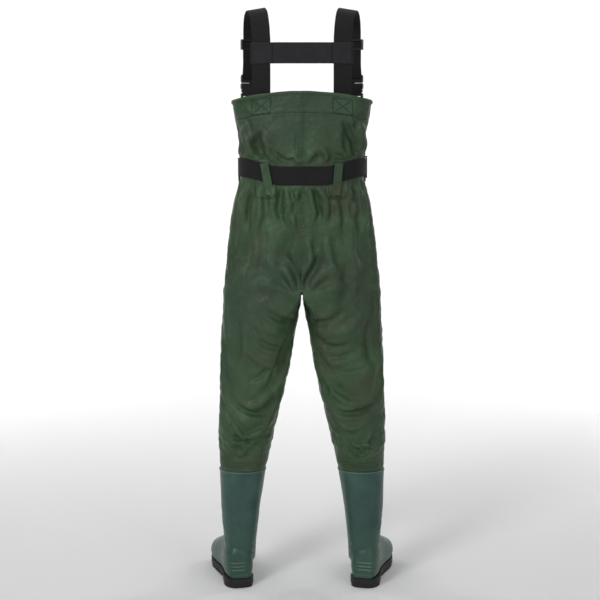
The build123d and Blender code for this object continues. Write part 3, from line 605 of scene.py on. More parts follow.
def plastic_material(name, c, rough=.38, scale=260):
    m, nt, bs = new_mat(name)
    tc = node(nt, "ShaderNodeTexCoord")
    a = tex_noise(nt, tc.outputs["Object"], scale, 3, .6)
    b = tex_noise(nt, tc.outputs["Object"], 22, 3, .6)
    col = mixc(nt, maprange(nt, b, .35, .7), c, tuple(x * 1.35 for x in c[:3]) + (1,))
    nt.links.new(col, bs.inputs["Base Color"])
    nt.links.new(ramp_node(nt, b, [(.3, (rough - .06,) * 3 + (1,)), (.7, (rough + .10,) * 3 + (1,))]), bs.inputs["Roughness"])
    nt.links.new(bump(nt, a, .12, .0003), bs.inputs["Normal"])
    return m


PLAST = plastic_material("moulded_plastic", lin(22, 22, 23))
RUB = plastic_material("sole_rubber_mat", lin(27, 26, 25), .66, 420)
THREAD = plastic_material("sewing_thread", lin(30, 44, 28), .7, 900)
FOAM = plastic_material("insole_mat", lin(52, 54, 54), .9, 700)
VEL = plastic_material("hook_loop_mat", lin(26, 26, 27), .95, 1200)
INNER = plastic_material("inner_face_mat", lin(46, 52, 46), .7, 900)


def boot_material():
    m, nt, bs = new_mat("boot_pvc_mat")
    tc = node(nt, "ShaderNodeTexCoord")
    obj = tc.outputs["Object"]
    a = tex_noise(nt, obj, 7, 3, .6, .4)
    col = ramp_node(nt, a, [(.3, lin(50, 76, 71)), (.5, lin(61, 90, 83)), (.7, lin(69, 99, 88))])
    sep = node(nt, "ShaderNodeSeparateXYZ")
    nt.links.new(obj, sep.inputs[0])
    greenish = maprange(nt, sep.outputs[2], .20, .06)
    col = mixc(nt, math_node(nt, "MULTIPLY", greenish, .55), col, lin(54, 86, 69))
    # painted highlight: a thin lighter band along the shaft's top rim, where light catches the rolled edge
    rim = line_mask(nt, sep.outputs[2], .3252, .0008, .0008)
    # painted highlight: lighter lines over the three heel ribs, only at the back of the heel
    heel_highlight_zone = line_mask(nt, math_node(nt, "ABSOLUTE", sep.outputs[0]), .1765, .0150, .005)
    heel_highlight_zone = math_node(nt, "MULTIPLY", heel_highlight_zone, maprange(nt, sep.outputs[1], -.100, -.094, 1, 0))
    rib_highlight_lines = math_node(nt, "MAXIMUM", math_node(nt, "MAXIMUM", line_mask(nt, sep.outputs[2], .0705, .0010, .0012), line_mask(nt, sep.outputs[2], .0605, .0010, .0012)), line_mask(nt, sep.outputs[2], .0505, .0010, .0012))
    col = mixc(nt, math_node(nt, "MULTIPLY", math_node(nt, "MULTIPLY", rib_highlight_lines, heel_highlight_zone), .5), col, lin(110, 136, 124))
    dirt = tex_noise(nt, obj, 17, 4, .65, .8)
    col = mixc(nt, maprange(nt, dirt, .50, .70, 0, .35), col, lin(46, 66, 60))
    # paint the rim's highlight in a lighter teal
    col = mixc(nt, math_node(nt, "MULTIPLY", rim, .45), col, lin(118, 146, 134))
    nt.links.new(col, bs.inputs["Base Color"])
    r = ramp_node(nt, tex_noise(nt, obj, 40, 3), [(.3, (.33, .33, .33, 1)), (.7, (.44, .44, .44, 1))])
    nt.links.new(r, bs.inputs["Roughness"])
    nrm = bump(nt, tex_noise(nt, obj, 60, 2, .5), .10, .0012)
    nrm = bump(nt, tex_noise(nt, obj, 700, 2, .5), .06, .0003, nrm)
    nt.links.new(nrm, bs.inputs["Normal"])
    bs.inputs["Specular IOR Level"].default_value = .34
    return m


BOOT = boot_material()
for o in gp.values():
    o.data.materials.append(FAB)

# ------------------------------------------------------------------ helpers for strips and patches


def make_obj(name, verts, fcs, mat, uvs=None, smooth=True, pat=None):
    m = bpy.data.meshes.new(name)
    m.from_pydata([tuple(map(float, v)) for v in verts], [], fcs)
    m.update()
    for p in m.polygons:
        p.use_smooth = smooth
    if uvs is not None:
        ul = m.uv_layers.new(name="UVMap")
        for lp in m.loops:
            ul.data[lp.index].uv = uvs[lp.vertex_index]
    m.materials.append(mat)
    o = bpy.data.objects.new(name, m)
    COL.objects.link(o)
    return o


def resample(points, step, closed=False):
    """Catmull-Rom through rows of numbers, at about the given step (by the first three numbers)."""
    p = np.array(points, float)
    n = len(p)
    out = []
    segs = n if closed else n - 1
    for i in range(segs):
        if closed:
            p0, p1, p2, p3 = p[(i - 1) % n], p[i], p[(i + 1) % n], p[(i + 2) % n]
        else:
            p1, p2 = p[i], p[i + 1]
            p0 = p[i - 1] if i > 0 else 2 * p1 - p2
            p3 = p[i + 2] if i + 2 < n else 2 * p2 - p1
        k = max(1, int(np.linalg.norm((p2 - p1)[:3]) / step))
        for j in range(k):
            t = j / k
            out.append(.5 * (2 * p1 + (p2 - p0) * t + (2 * p0 - 5 * p1 + 4 * p2 - p3) * t * t + (3 * p1 - p0 - 3 * p2 + p3) * t ** 3))
    if not closed:
        out.append(p[-1])
    return np.array(out)


def strip(name, rows, width, thick, mat, closed=False, cols=10, wobble=.0):
    """A webbing strip. rows: (centre xyz, across xyz) each; the thickness is across both."""
    rows = np.array(rows, float)
    C, A = rows[:, :3], rows[:, 3:6]
    A = A / np.linalg.norm(A, axis=1)[:, None]
    n = len(C)
    T = np.roll(C, -1, 0) - np.roll(C, 1, 0)
    if not closed:
        T[0], T[-1] = C[1] - C[0], C[-1] - C[-2]
    T /= np.maximum(1e-9, np.linalg.norm(T, axis=1))[:, None]
    Nn = np.cross(A, T)
    Nn /= np.maximum(1e-9, np.linalg.norm(Nn, axis=1))[:, None]
    h, e = thick / 2, thick * .45
    prof = [(-width / 2 + e + (width - 2 * e) * k / cols, h) for k in range(cols + 1)]
    prof += [(width / 2 - .3 * e, .62 * h), (width / 2, 0), (width / 2 - .3 * e, -.62 * h)]
    prof += [(width / 2 - e - (width - 2 * e) * k / cols, -h) for k in range(cols + 1)]
    prof += [(-width / 2 + .3 * e, -.62 * h), (-width / 2, 0), (-width / 2 + .3 * e, .62 * h)]
    m = len(prof)
    s = np.concatenate([[0], np.cumsum(np.linalg.norm(np.diff(C, axis=0), axis=1))])
    verts, uvs = [], []
    for i in range(n):
        wob = wobble * (math.sin(s[i] * 55 + 1.0) * .6 + math.sin(s[i] * 131 + 2.0) * .4)
        for (a, b) in prof:
            ed = (abs(a) / (width / 2)) ** 2
            verts.append(C[i] + A[i] * a + Nn[i] * (b + wob * ed * (1 if a > 0 else -.7)))
            uvs.append((a, s[i]))
    fcs = []
    for i in range(n if closed else n - 1):
        i2 = (i + 1) % n
        for k in range(m):
            k2 = (k + 1) % m
            fcs.append((i * m + k, i * m + k2, i2 * m + k2, i2 * m + k))
    if not closed:
        fcs.append(tuple(range(m))[::-1])
        fcs.append(tuple((n - 1) * m + k for k in range(m)))
    o = make_obj(name, verts, fcs, mat, uvs)
    bm = bmesh.new()
    bm.from_mesh(o.data)
    bmesh.ops.recalc_face_normals(bm, faces=bm.faces)
    bm.to_mesh(o.data)
    bm.free()
    return o


def surf(x, z, front=False, inside=False):
    """Point and outward normal of the finished cloth behind (or in front) at x, z."""
    if front:
        hit = BVH.ray_cast(Vector((x, .5, z)), Vector((0, -1, 0)))
    else:
        hit = BVH.ray_cast(Vector((x, -.6, z)), Vector((0, 1, 0)))
    if hit[0] is None:
        return None, None
    n = hit[1].normalized()
    if (n.y > 0) != front:
        n = -n
    return np.array(hit[0]), np.array(n)


def patch(name, cx, cz, w, h, mat, lift=.0009, thick=.0007, front=False, corner=.012, nx=22, nz=30, lean=0.0, rim=True, smooth_n=True):
    """A flat piece welded or sewn on the cloth, following its surface."""
    def pt(u, v):
        # rounded rectangle by squeezing the grid's corners
        x, z = (u - .5) * w, (v - .5) * h
        ix, iz = w / 2 - corner, h / 2 - corner
        if abs(x) > ix and abs(z) > iz:
            qx, qz = (abs(x) - ix) / corner, (abs(z) - iz) / corner
            m, r = max(qx, qz), math.hypot(qx, qz)
            if r > 1e-6:
                x = math.copysign(ix + qx * m / r * corner, x)
                z = math.copysign(iz + qz * m / r * corner, z)
        return cx + x + lean * z, cz + z
    grid, nrm, xz = [], [], []
    for b in range(nz + 1):
        for a in range(nx + 1):
            x, z = pt(a / nx, b / nz)
            p, n = surf(x, z, front)
            grid.append(p)
            nrm.append(n)
            xz.append((x, z))
    ok = [g for g in grid if g is not None]
    if len(ok) < len(grid):
        print("patch misses", name, len(grid) - len(ok))
        last_p, last_n = next((g, n) for g, n in zip(grid, nrm) if g is not None)
        for i in range(len(grid)):
            if grid[i] is None:
                grid[i], nrm[i] = last_p, last_n
            last_p, last_n = grid[i], nrm[i]
    G = np.array(grid).reshape(nz + 1, nx + 1, 3)
    Q = np.array(nrm).reshape(nz + 1, nx + 1, 3)
    for _ in range(3):
        Q[1:-1, 1:-1] = (Q[1:-1, 1:-1] + Q[:-2, 1:-1] + Q[2:, 1:-1] + Q[1:-1, :-2] + Q[1:-1, 2:]) / 5
        Q /= np.linalg.norm(Q, axis=2)[:, :, None]
    verts, uvs, fcs = [], [], []
    top = G + Q * (lift + thick)
    # edges bend down to the cloth
    for b in range(nz + 1):
        for a in range(nx + 1):
            ee = min(a, nx - a, b, nz - b)
            t = top[b, a] - Q[b, a] * (thick * .8 if ee == 0 else 0)
            verts.append(t)
            uvs.append(xz[b * (nx + 1) + a])
    k0 = len(verts)
    for b in range(nz):
        for a in range(nx):
            i = b * (nx + 1) + a
            fcs.append((i, i + 1, i + nx + 2, i + nx + 1))
    # skirt
    border = [(0, a) for a in range(nx)] + [(b, nx) for b in range(nz)] + [(nz, a) for a in range(nx, 0, -1)] + [(b, 0) for b in range(nz, 0, -1)]
    ids = []
    for (b, a) in border:
        ids.append(len(verts))
        verts.append(G[b, a] - Q[b, a] * .0006)
        uvs.append(xz[b * (nx + 1) + a])
    nb = len(border)
    for i in range(nb):
        i2 = (i + 1) % nb
        t0 = border[i][0] * (nx + 1) + border[i][1]
        t1 = border[i2][0] * (nx + 1) + border[i2][1]
        fcs.append((t0, ids[i], ids[i2], t1))
    o = make_obj(name, verts, fcs, mat, uvs)
    bm = bmesh.new()
    bm.from_mesh(o.data)
    bmesh.ops.recalc_face_normals(bm, faces=bm.faces)
    bm.to_mesh(o.data)
    bm.free()
    return o


def stitch_line(name, cx, cz, w, h, corner, front, lift):
    """A sewn line, a rounded rectangle lying on the cloth."""
    ring_ = []
    for qx, qz, a0 in ((1, 1, 0), (-1, 1, 90), (-1, -1, 180), (1, -1, 270)):
        for a in np.linspace(a0, a0 + 90, 8):
            ring_.append((cx + qx * (w / 2 - corner) + corner * math.cos(R(a)), cz + qz * (h / 2 - corner) + corner * math.sin(R(a))))
    ring_ = np.array(ring_)
    d_ = np.concatenate([[0], np.cumsum(np.linalg.norm(np.diff(np.vstack([ring_, ring_[:1]]), axis=0), axis=1))])
    t_ = np.linspace(0, d_[-1], 96)[:-1]
    cl = np.vstack([ring_, ring_[:1]])
    xs_, zs_ = np.interp(t_, d_, cl[:, 0]), np.interp(t_, d_, cl[:, 1])
    C, Q = [], []
    for x, z in zip(xs_, zs_):
        p_, n_ = surf(x, z, front)
        C.append(p_); Q.append(n_)
    C, Q = np.array(C), np.array(Q)
    for _ in range(4):
        Q = Q + np.roll(Q, 1, 0) + np.roll(Q, -1, 0)
        Q /= np.linalg.norm(Q, axis=1)[:, None]
    C = C + Q * lift
    T = np.roll(C, -1, 0) - np.roll(C, 1, 0)
    A = np.cross(Q, T)
    A /= np.linalg.norm(A, axis=1)[:, None]
    o = strip(name, np.hstack([C, A]), .0013, .0007, THREAD, closed=True, cols=2)
    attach(o, "torso")
    return o


def yawv(deg, roll=0.0):
    a, b = R(deg), R(roll)
    return (math.cos(a) * math.cos(b), math.sin(a) * math.cos(b), math.sin(b))


MM = .001
BACK_Y, FRONT_Y, BELT_YB = -96.917, 105.015, 114.8
ride_later = []

# ------------------------------------------------------------------ shoulder straps and cross band
ARC = [(110.5, 0.022, 1538, 9, -1), (113, 0.075, 1561, 7, -4), (116.5, 0.16, 1581, 4, -7), (120.5, 0.27, 1592.5, 1, -9),
       (125, 0.40, 1599.3, -3, -9.5), (129.5, 0.53, 1600, -8, -9.5), (133.5, 0.66, 1596.5, -13, -8), (137, 0.78, 1589, -18, -6),
       (139.8, 0.89, 1578, -22, -3.5), (141.8, 0.972, 1562, -24.5, -1.0)]
for s, nm in ((1, "right"), (-1, "left")):
    rows = []
    for z in (1322, 1360, 1400, 1440, 1480, 1510):
        rows.append((s * 109 * MM, BACK_Y * MM + DY, z * MM, *[c * (s if k == 0 else 1) for k, c in enumerate(yawv(10))]))
    for x, q, z, yw, rl in ARC:
        a = yawv(yw, rl)
        rows.append((s * x * MM, (BACK_Y + q * (FRONT_Y - BACK_Y)) * MM + DY, z * MM, a[0] * s, a[1], a[2]))
    for z in (1549, 1530, 1505, 1478):
        a = yawv(-25)
        rows.append((s * 142.5 * MM, FRONT_Y * MM + DY, z * MM, a[0] * s, a[1], 0))
    # the across vectors are mirrored with the strap
    rows = [(r[0], r[1], r[2], r[3], r[4] if True else 0, r[5]) for r in rows]
    rows = [(r[0], r[1], r[2], s * r[3], s * r[4], s * r[5]) for r in rows] if s < 0 else rows
    rs = resample(rows, .006)
    o = strip(nm + "_shoulder_strap_webbing", rs, .050, .0019, WEB, wobble=.0005)
    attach(o, "torso"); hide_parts(nm + "_shoulder_strap")


def local_path(s, yz, z_ref=1373.0):
    """Strip rows from (y, z) points in a strap's front frame."""
    ex, ey = yawv(-25), (math.sin(R(25)), math.cos(R(25)))
    return [((s * (142.5 + y * ey[0])) * MM, (FRONT_Y + y * ey[1]) * MM + DY, (z_ref + z) * MM, ex[0], s * ex[1], 0) for y, z in yz]


for s, nm in ((1, "right"), (-1, "left")):
    o = strip(nm + "_strap_loop_webbing", resample(local_path(s, [(-2.1, 148), (-2.1, 120), (-2.1, 92), (-2.0, 76), (-.6, 63), (0, 54), (.1, 47.6), (1.2, 45.6), (3.1, 45.3), (5.0, 45.6), (6.2, 47.6), (6.3, 55), (6.1, 61), (3.2, 79), (2.2, 88), (2.1, 110), (2.1, 148)]), .003),
              .050, .0015, WEB)
    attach(o, nm + "_strap_end"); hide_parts(nm + "_front_webbing")
    o = strip(nm + "_bib_tab_webbing", resample(local_path(s, [(-.15, -69), (-.15, -40), (-.1, -22), (0, -12), (.4, -6.2), (3.2, -4.4), (5.8, -6.2), (6.3, -12), (5.2, -16), (2.4, -23), (1.75, -32), (1.75, -50), (1.75, -69)]), .003),
              .050, .0015, WEB)
    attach(o, "torso"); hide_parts(nm + "_bib_tab")

# cross band: an outer layer over both straps, and an inner layer behind each
eb = np.array(yawv(10))
nb = np.array([eb[1], -eb[0], 0.0])


def band_pts(layer):
    out = []
    cy = BACK_Y
    off = {1: 2.15, -1: 2.15}[layer] * layer
    c = np.array([109.0, cy, 0]) + nb * off
    for t in (27.3, 20, 0, -20, -27.5):
        out.append(c + eb * t)
    return np.array(out)


outer = band_pts(1)
mid_y = outer[-1][1] - 1.0
line = [tuple(p) for p in outer] + [(60, mid_y - .6, 0), (30, mid_y - 1.0, 0), (0, mid_y - 1.1, 0)]
full = line + [(-x, y, z) for x, y, z in line[-2::-1]]
zc = 1476.0
rs = resample([(x * MM, y * MM + DY, zc * MM, 0, 0, 1) for x, y, z in full], .004)
o = strip("cross_band_outer", rs, .0560, .0020, BAND, wobble=.0004)
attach(o, "cross_band")
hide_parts("cross_band")
for s in (1, -1):
    inn = band_pts(-1)
    c = np.array([109.0, BACK_Y, 0])
    tip_o = c + eb * 28.6
    tip_i = c - eb * 28.6
    loop = [c + eb * 27.5 + nb * 1.8, tip_o, c + eb * 27.5 - nb * 2.1] + [p for p in inn[1:-1]] + [c - eb * 27.5 - nb * 2.1, tip_i + nb * .6, c - eb * 28.2 + nb * 1.4]
    rs = resample([(s * p[0] * MM, p[1] * MM + DY, zc * MM, 0, 0, 1) for p in loop], .003)
    o = strip("cross_band_sleeve_" + ("right" if s > 0 else "left"), rs, .0556, .0016, BAND)
    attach(o, "cross_band")

# sewn seams of the band's sleeves
for s in (1, -1):
    for k, xx in ((0, 79.5), (1, 136.0)):
        yy = mid_y - .2 if k == 0 else (np.array([109.0, BACK_Y, 0]) + nb * 2.15 + eb * 26.4)[1]
        rowsl = [(s * xx * MM, (yy - 1.35) * MM + DY, z, 1, -s * .17, 0) for z in np.linspace(1.4495, 1.5025, 12)]
        o = strip("band_seam_%s_%d" % ("right" if s > 0 else "left", k), np.array(rowsl), .0016, .0010, WEB, cols=2)
        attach(o, "cross_band")

# ------------------------------------------------------------------ belt

ring = superring(.1712, .109, 2.9, 220)
rows = []
for x, y in ring:
    z = float(belt_z(np.array(x), np.array(y)))
    a, b, n = tab(TW, z), tab(TD, z), tab(TN, z)
    nx, ny = np.sign(x) * abs(x / a) ** (n - 1) / a, np.sign(y) * abs(y / b) ** (n - 1) / b
    ln = math.hypot(nx, ny)
    nx, ny = nx / ln, ny / ln
    k = 1.0 / ((abs(x) / a) ** n + (abs(y) / b) ** n) ** (1 / n)
    g = .0042
    rows.append((x * k + nx * g, y * k + ny * g + DY, z, nx, ny, 0))
rows = np.array(rows)
belt_rows = rows
# the belt is open in front for the buckle
keepm = ~((rows[:, 1] > .02) & (rows[:, 0] > -.034) & (rows[:, 0] < .042))
startk = int(np.argmax(rows[:, 1] * (np.abs(rows[:, 0] - .05) < .012)))
idx = [i for i in np.roll(np.arange(len(rows)), 0)]
order = sorted([i for i in range(len(rows)) if keepm[i]], key=lambda i: (math.atan2(rows[i][1] - DY, rows[i][0]) - math.atan2(.11, .045)) % (2 * math.pi))
br = [(rows[i][0], rows[i][1], rows[i][2], 0, 0, 1) for i in order]
o = strip("belt_webbing_band", resample(br, .006), .050, .0019, WEB, wobble=.0006)
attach(o, "torso"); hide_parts("belt_webbing")
bl = lambda yz: [((-20 + z) * MM, (BELT_YB + y) * MM + DY, 1.150, 0, 0, 1) for y, z in yz]
o = strip("belt_end_webbing", resample(bl([(0, 76), (0, 64), (0, 55), (.6, 51), (3.1, 50.2), (5.6, 51), (6.3, 55), (6.0, 60), (3.2, 68), (2.1, 72), (2.1, 76)]), .003), .050, .0015, WEB)
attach(o, "belt_end"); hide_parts("belt_front_webbing")
o = strip("belt_tab_webbing", resample(bl([(.3, -34), (.2, -20), (.2, -12), (.8, -8.4), (3.2, -7.5), (5.6, -8.4), (6.3, -12), (5.4, -16), (2.8, -22.5), (1.9, -28), (1.85, -34)]), .003), .050, .0014, WEB)
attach(o, "torso"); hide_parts("belt_fixed_tab")

# patches and loops
for nm, cx, f, lean0, lean1 in (("left_back", -.098, False, -.102, -.085), ("right_back", .097, False, .100, .0915), ("right_front", .112, True, .112, .110), ("left_front", -.112, True, -.112, -.110)):
    zc0 = 1.142 if not f else 1.150
    p = patch(nm + "_loop_patch", cx, zc0, .060, .112, FAB2, front=f, lift=.0006, thick=.0013, corner=.020)
    stitch_line(nm + "_patch_stitches", cx, zc0, .052, .104, .017, f, .0021)
    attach(p, "torso")
    if nm == "left_back":
        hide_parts("belt_loop_patches")
    zt, zbm = (1.184, 1.093) if not f else (1.196, 1.104)
    rowsl = []
    sgn = 1 if f else -1
    for t in np.linspace(0, 1, 19):
        z = zt + (zbm - zt) * t
        x = lean0 + (lean1 - lean0) * t
        sp_, sn = surf(x, z, f)
        bz = float(belt_z(np.array(x), np.array(-.1 if not f else .1)))
        over = (1 - sstep(.022, .038, abs(z - bz)))
        y = sp_[1] + sgn * (.0026 + .0088 * over)
        if f:
            y = max(y, -1e9)
        rowsl.append([x, y, z])
    rl = np.array(rowsl)
    # even out the outward path
    for _ in range(3):
        rl[1:-1, 1] = (rl[:-2, 1] + rl[1:-1, 1] * 2 + rl[2:, 1]) / 4
    for i in range(len(rl)):
        z = rl[i, 2]
        bz = float(belt_z(np.array(rl[i, 0]), np.array(-.1 if not f else .1)))
        if abs(z - bz) < .027:
            j = int(np.argmin((belt_rows[:, 0] - rl[i, 0]) ** 2 + (0 if (belt_rows[:, 1] > 0).any() else 0) + np.where((belt_rows[:, 1] > 0) == f, 0, 1)))
            yo = belt_rows[j, 1] + sgn * .0052
            rl[i, 1] = max(rl[i, 1], yo) if f else min(rl[i, 1], yo)
    lean = (lean1 - lean0) / (zt - zbm)
    path = [(r[0], r[1], r[2], 1, 0.20 * (1 if (r[0] > 0) != f else -1), lean) for r in rl]
    o = strip(nm + "_belt_loop_strip", resample(path, .004), .0235, .0026, FAB2)
    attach(o, "torso"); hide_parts(nm + "_belt_loop")
    # bar tack at the lower end
    q, n = surf(lean1, zbm + .001, f)
    bt = [(lean1 - .0125, rl[-1, 1] + sgn * .0010, zbm + .003, 0, 0, 1), (lean1, rl[-1, 1] + sgn * .0012, zbm + .003, 0, 0, 1), (lean1 + .0125, rl[-1, 1] + sgn * .0010, zbm + .003, 0, 0, 1)]
    o = strip(nm + "_loop_bartack", resample(bt, .004), .0026, .0009, VEL, cols=2)
    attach(o, "torso")

# ------------------------------------------------------------------ hem: rolled edge following the cloth's top row
def top_loop():
    t = np.linspace(0, 2 * math.pi, 361)[:-1]
    rg = superring(tab(TW, 1.366), tab(TD, 1.366), tab(TN, 1.366), 300)
    out = []
    for x, y in rg:
        z = hem_z(x)
        kx, ky = tab(TW, z) / tab(TW, 1.366), tab(TD, z) / tab(TD, 1.366)
        out.append((x * kx, y * ky + DY, z))
    return np.array(out)


tl = top_loop()


def tube(name, C, prof_fn, mat, body_pts=14):
    """Closed ring tube; prof_fn(i) gives (radius out, radius up)."""
    n = len(C)
    T = np.roll(C, -1, 0) - np.roll(C, 1, 0)
    T /= np.linalg.norm(T, axis=1)[:, None]
    U = np.array([0, 0, 1.0])
    O = np.cross(T, U)
    O /= np.linalg.norm(O, axis=1)[:, None]
    verts, uvs, fcs = [], [], []
    s = np.concatenate([[0], np.cumsum(np.linalg.norm(np.diff(C, axis=0), axis=1))])
    for i in range(n):
        ro, ru = prof_fn(i, s[i])
        for k in range(body_pts):
            a = 2 * math.pi * k / body_pts
            verts.append(C[i] + O[i] * ro * math.cos(a) + U * ru * math.sin(a))
            uvs.append((k / body_pts * .02, s[i]))
    for i in range(n):
        i2 = (i + 1) % n
        for k in range(body_pts):
            k2 = (k + 1) % body_pts
            fcs.append((i * body_pts + k, i * body_pts + k2, i2 * body_pts + k2, i2 * body_pts + k))
    o = make_obj(name, verts, fcs, mat, uvs)
    bm = bmesh.new(); bm.from_mesh(o.data)
    bmesh.ops.recalc_face_normals(bm, faces=bm.faces)
    bm.to_mesh(o.data); bm.free()
    return o


tl2 = tl.copy()
tl2[:, 2] -= .0042
o = tube("hem_rolled_edge", tl2, lambda i, s: (.0021 + .0004 * math.sin(s * 90) * math.sin(s * 37), .0049 + .0005 * math.sin(s * 61 + 1)), FAB2)
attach(o, "torso"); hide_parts("top_hem_roll")
# facing inside the hem
nr = 9
fv, ff, fu = [], [], []
rg = superring(1, 1, 2, 4)
FN = 180
for r in range(nr):
    d = .006 + r * .0062
    C = superring(tab(TW, 1.366), tab(TD, 1.366), tab(TN, 1.366), FN)
    for x, y in C:
        z = hem_z(x) - d
        kx, ky = tab(TW, z) / tab(TW, 1.366), tab(TD, z) / tab(TD, 1.366)
        X, Y = x * kx, y * ky
        hit = BVH.find_nearest(Vector((X, Y + DY, z)))
        hn = hit[1] if hit[1].dot(Vector((X, Y, 0))) > 0 else -hit[1]
        q_ = hit[0] - hn * (.0022 + .0006 * (r > 0))
        fv.append((q_.x, q_.y, min(q_.z, z)))
        fu.append((x, z))
for r in range(nr - 1):
    for j in range(FN):
        ff.append((r * FN + j, (r + 1) * FN + j, (r + 1) * FN + (j + 1) % FN, r * FN + (j + 1) % FN))
o = make_obj("hem_inner_facing", fv, ff, INNER, fu)
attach(o, "torso"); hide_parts("hem_facing")
# seam tapes inside
for nm, f in (("back", False), ("front", True)):
    rowsl = []
    for z in np.linspace(1.312, .862, 80):
        sgn = 1 if f else -1
        deep = min(sgn * surf(x_, z + dz_, f)[0][1] for x_ in (-.0105, -.005, 0.0, .005, .0105) for dz_ in (-.003, 0, .003))
        rowsl.append((0.0, sgn * deep - sgn * .0016, z, 1, 0, 0))
    o = strip(nm + "_inner_seam_tape", np.array(rowsl), .022, .0006, INNER, cols=4)
    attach(o, "torso"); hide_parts(nm + "_seam_tape")

# ------------------------------------------------------------------ chest pocket in front
PZ0, PZ1, PWD = 1.215, 1.332, .078
base_y = lambda x, z: float(tab(TD, z)) * max(0, 1 - (abs(x) / float(tab(TW, z))) ** float(tab(TN, z))) ** (1 / float(tab(TN, z))) + DY


def bag(name, mat, out, z0, z1, w, sag=.0025, corner=.012, nx=34, nz=26, lift0=.0006, seed=1.0):
    """A pocket's outer wall: puffed out from the chest, closed at its sides and bottom."""
    verts, uvs, fcs = [], [], []
    for b in range(nz + 1):
        for a in range(nx + 1):
            u, v = a / nx * 2 - 1, b / nz
            x, z = u * w, z0 + v * (z1 - z0)
            e = min(1.0, (1 - abs(u)) * w / corner)
            eb_ = min(1.0, v * (z1 - z0) / corner)
            k = math.sin(e * math.pi / 2) ** .6 * math.sin(max(.0, eb_) * math.pi / 2) ** .6
            nzv = noise.fractal(Vector((x * 30 + seed, z * 30, seed)), 1.0, 2.0, 3) * .0012
            y = base_y(x, z) + lift0 + (out + sag * math.sin(v * math.pi) * math.cos(u * 1.4) + nzv) * k
            verts.append((x, y, z))
            uvs.append((x, z))
    for b in range(nz):
        for a in range(nx):
            i = b * (nx + 1) + a
            fcs.append((i, i + nx + 1, i + nx + 2, i + 1))
    return make_obj(name, verts, fcs, mat, uvs)


o = bag("chest_pocket_bag", FAB2, .0135, PZ0, PZ1 - .022, PWD)
so = o.modifiers.new("thick", "SOLIDIFY"); so.thickness = .0012; so.offset = -1
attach(o, "torso"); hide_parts("chest_pocket", "flap_anchor_strip")
anc = patch("flap_anchor_tape", 0, PZ1 - .004, .162, .024, FAB2, front=True, corner=.003, nz=6, lift=.0004, thick=.001)
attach(anc, "torso")
# flap: hinged at its top edge
verts, uvs, fcs = [], [], []
nx, nz = 36, 24
for b in range(nz + 1):
    for a in range(nx + 1):
        u, v = a / nx * 2 - 1, b / nz
        x, z = u * .081, PZ1 - v * .067
        fall = sstep(0, .22, v)
        arch_ = .0022 + .0158 * fall
        corner_drop = .0035 * max(0, abs(u) - .8) / .2 * v
        y = base_y(x, PZ1 - v * .067) + arch_ + noise.fractal(Vector((x * 25, z * 25, 4.0)), 1, 2, 3) * .0008 - corner_drop * .4
        if v > .8:
            z += .006 * max(0, abs(u) - .86) / .14
        verts.append((x, y, z)); uvs.append((x, z))
for b in range(nz):
    for a in range(nx):
        i = b * (nx + 1) + a
        fcs.append((i, i + nx + 1, i + nx + 2, i + 1))
o = make_obj("pocket_flap_cloth", verts, fcs, FAB2, uvs)
so = o.modifiers.new("thick", "SOLIDIFY"); so.thickness = .0014; so.offset = 1
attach(o, "pocket_flap"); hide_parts("pocket_flap")

# ------------------------------------------------------------------ boots
HEEL = np.array([.172, -.075 + DY, 0])
FD = np.array([math.sin(R(11.5)), math.cos(R(11.5)), 0])
FS = np.array([math.cos(R(11.5)), -math.sin(R(11.5)), 0])


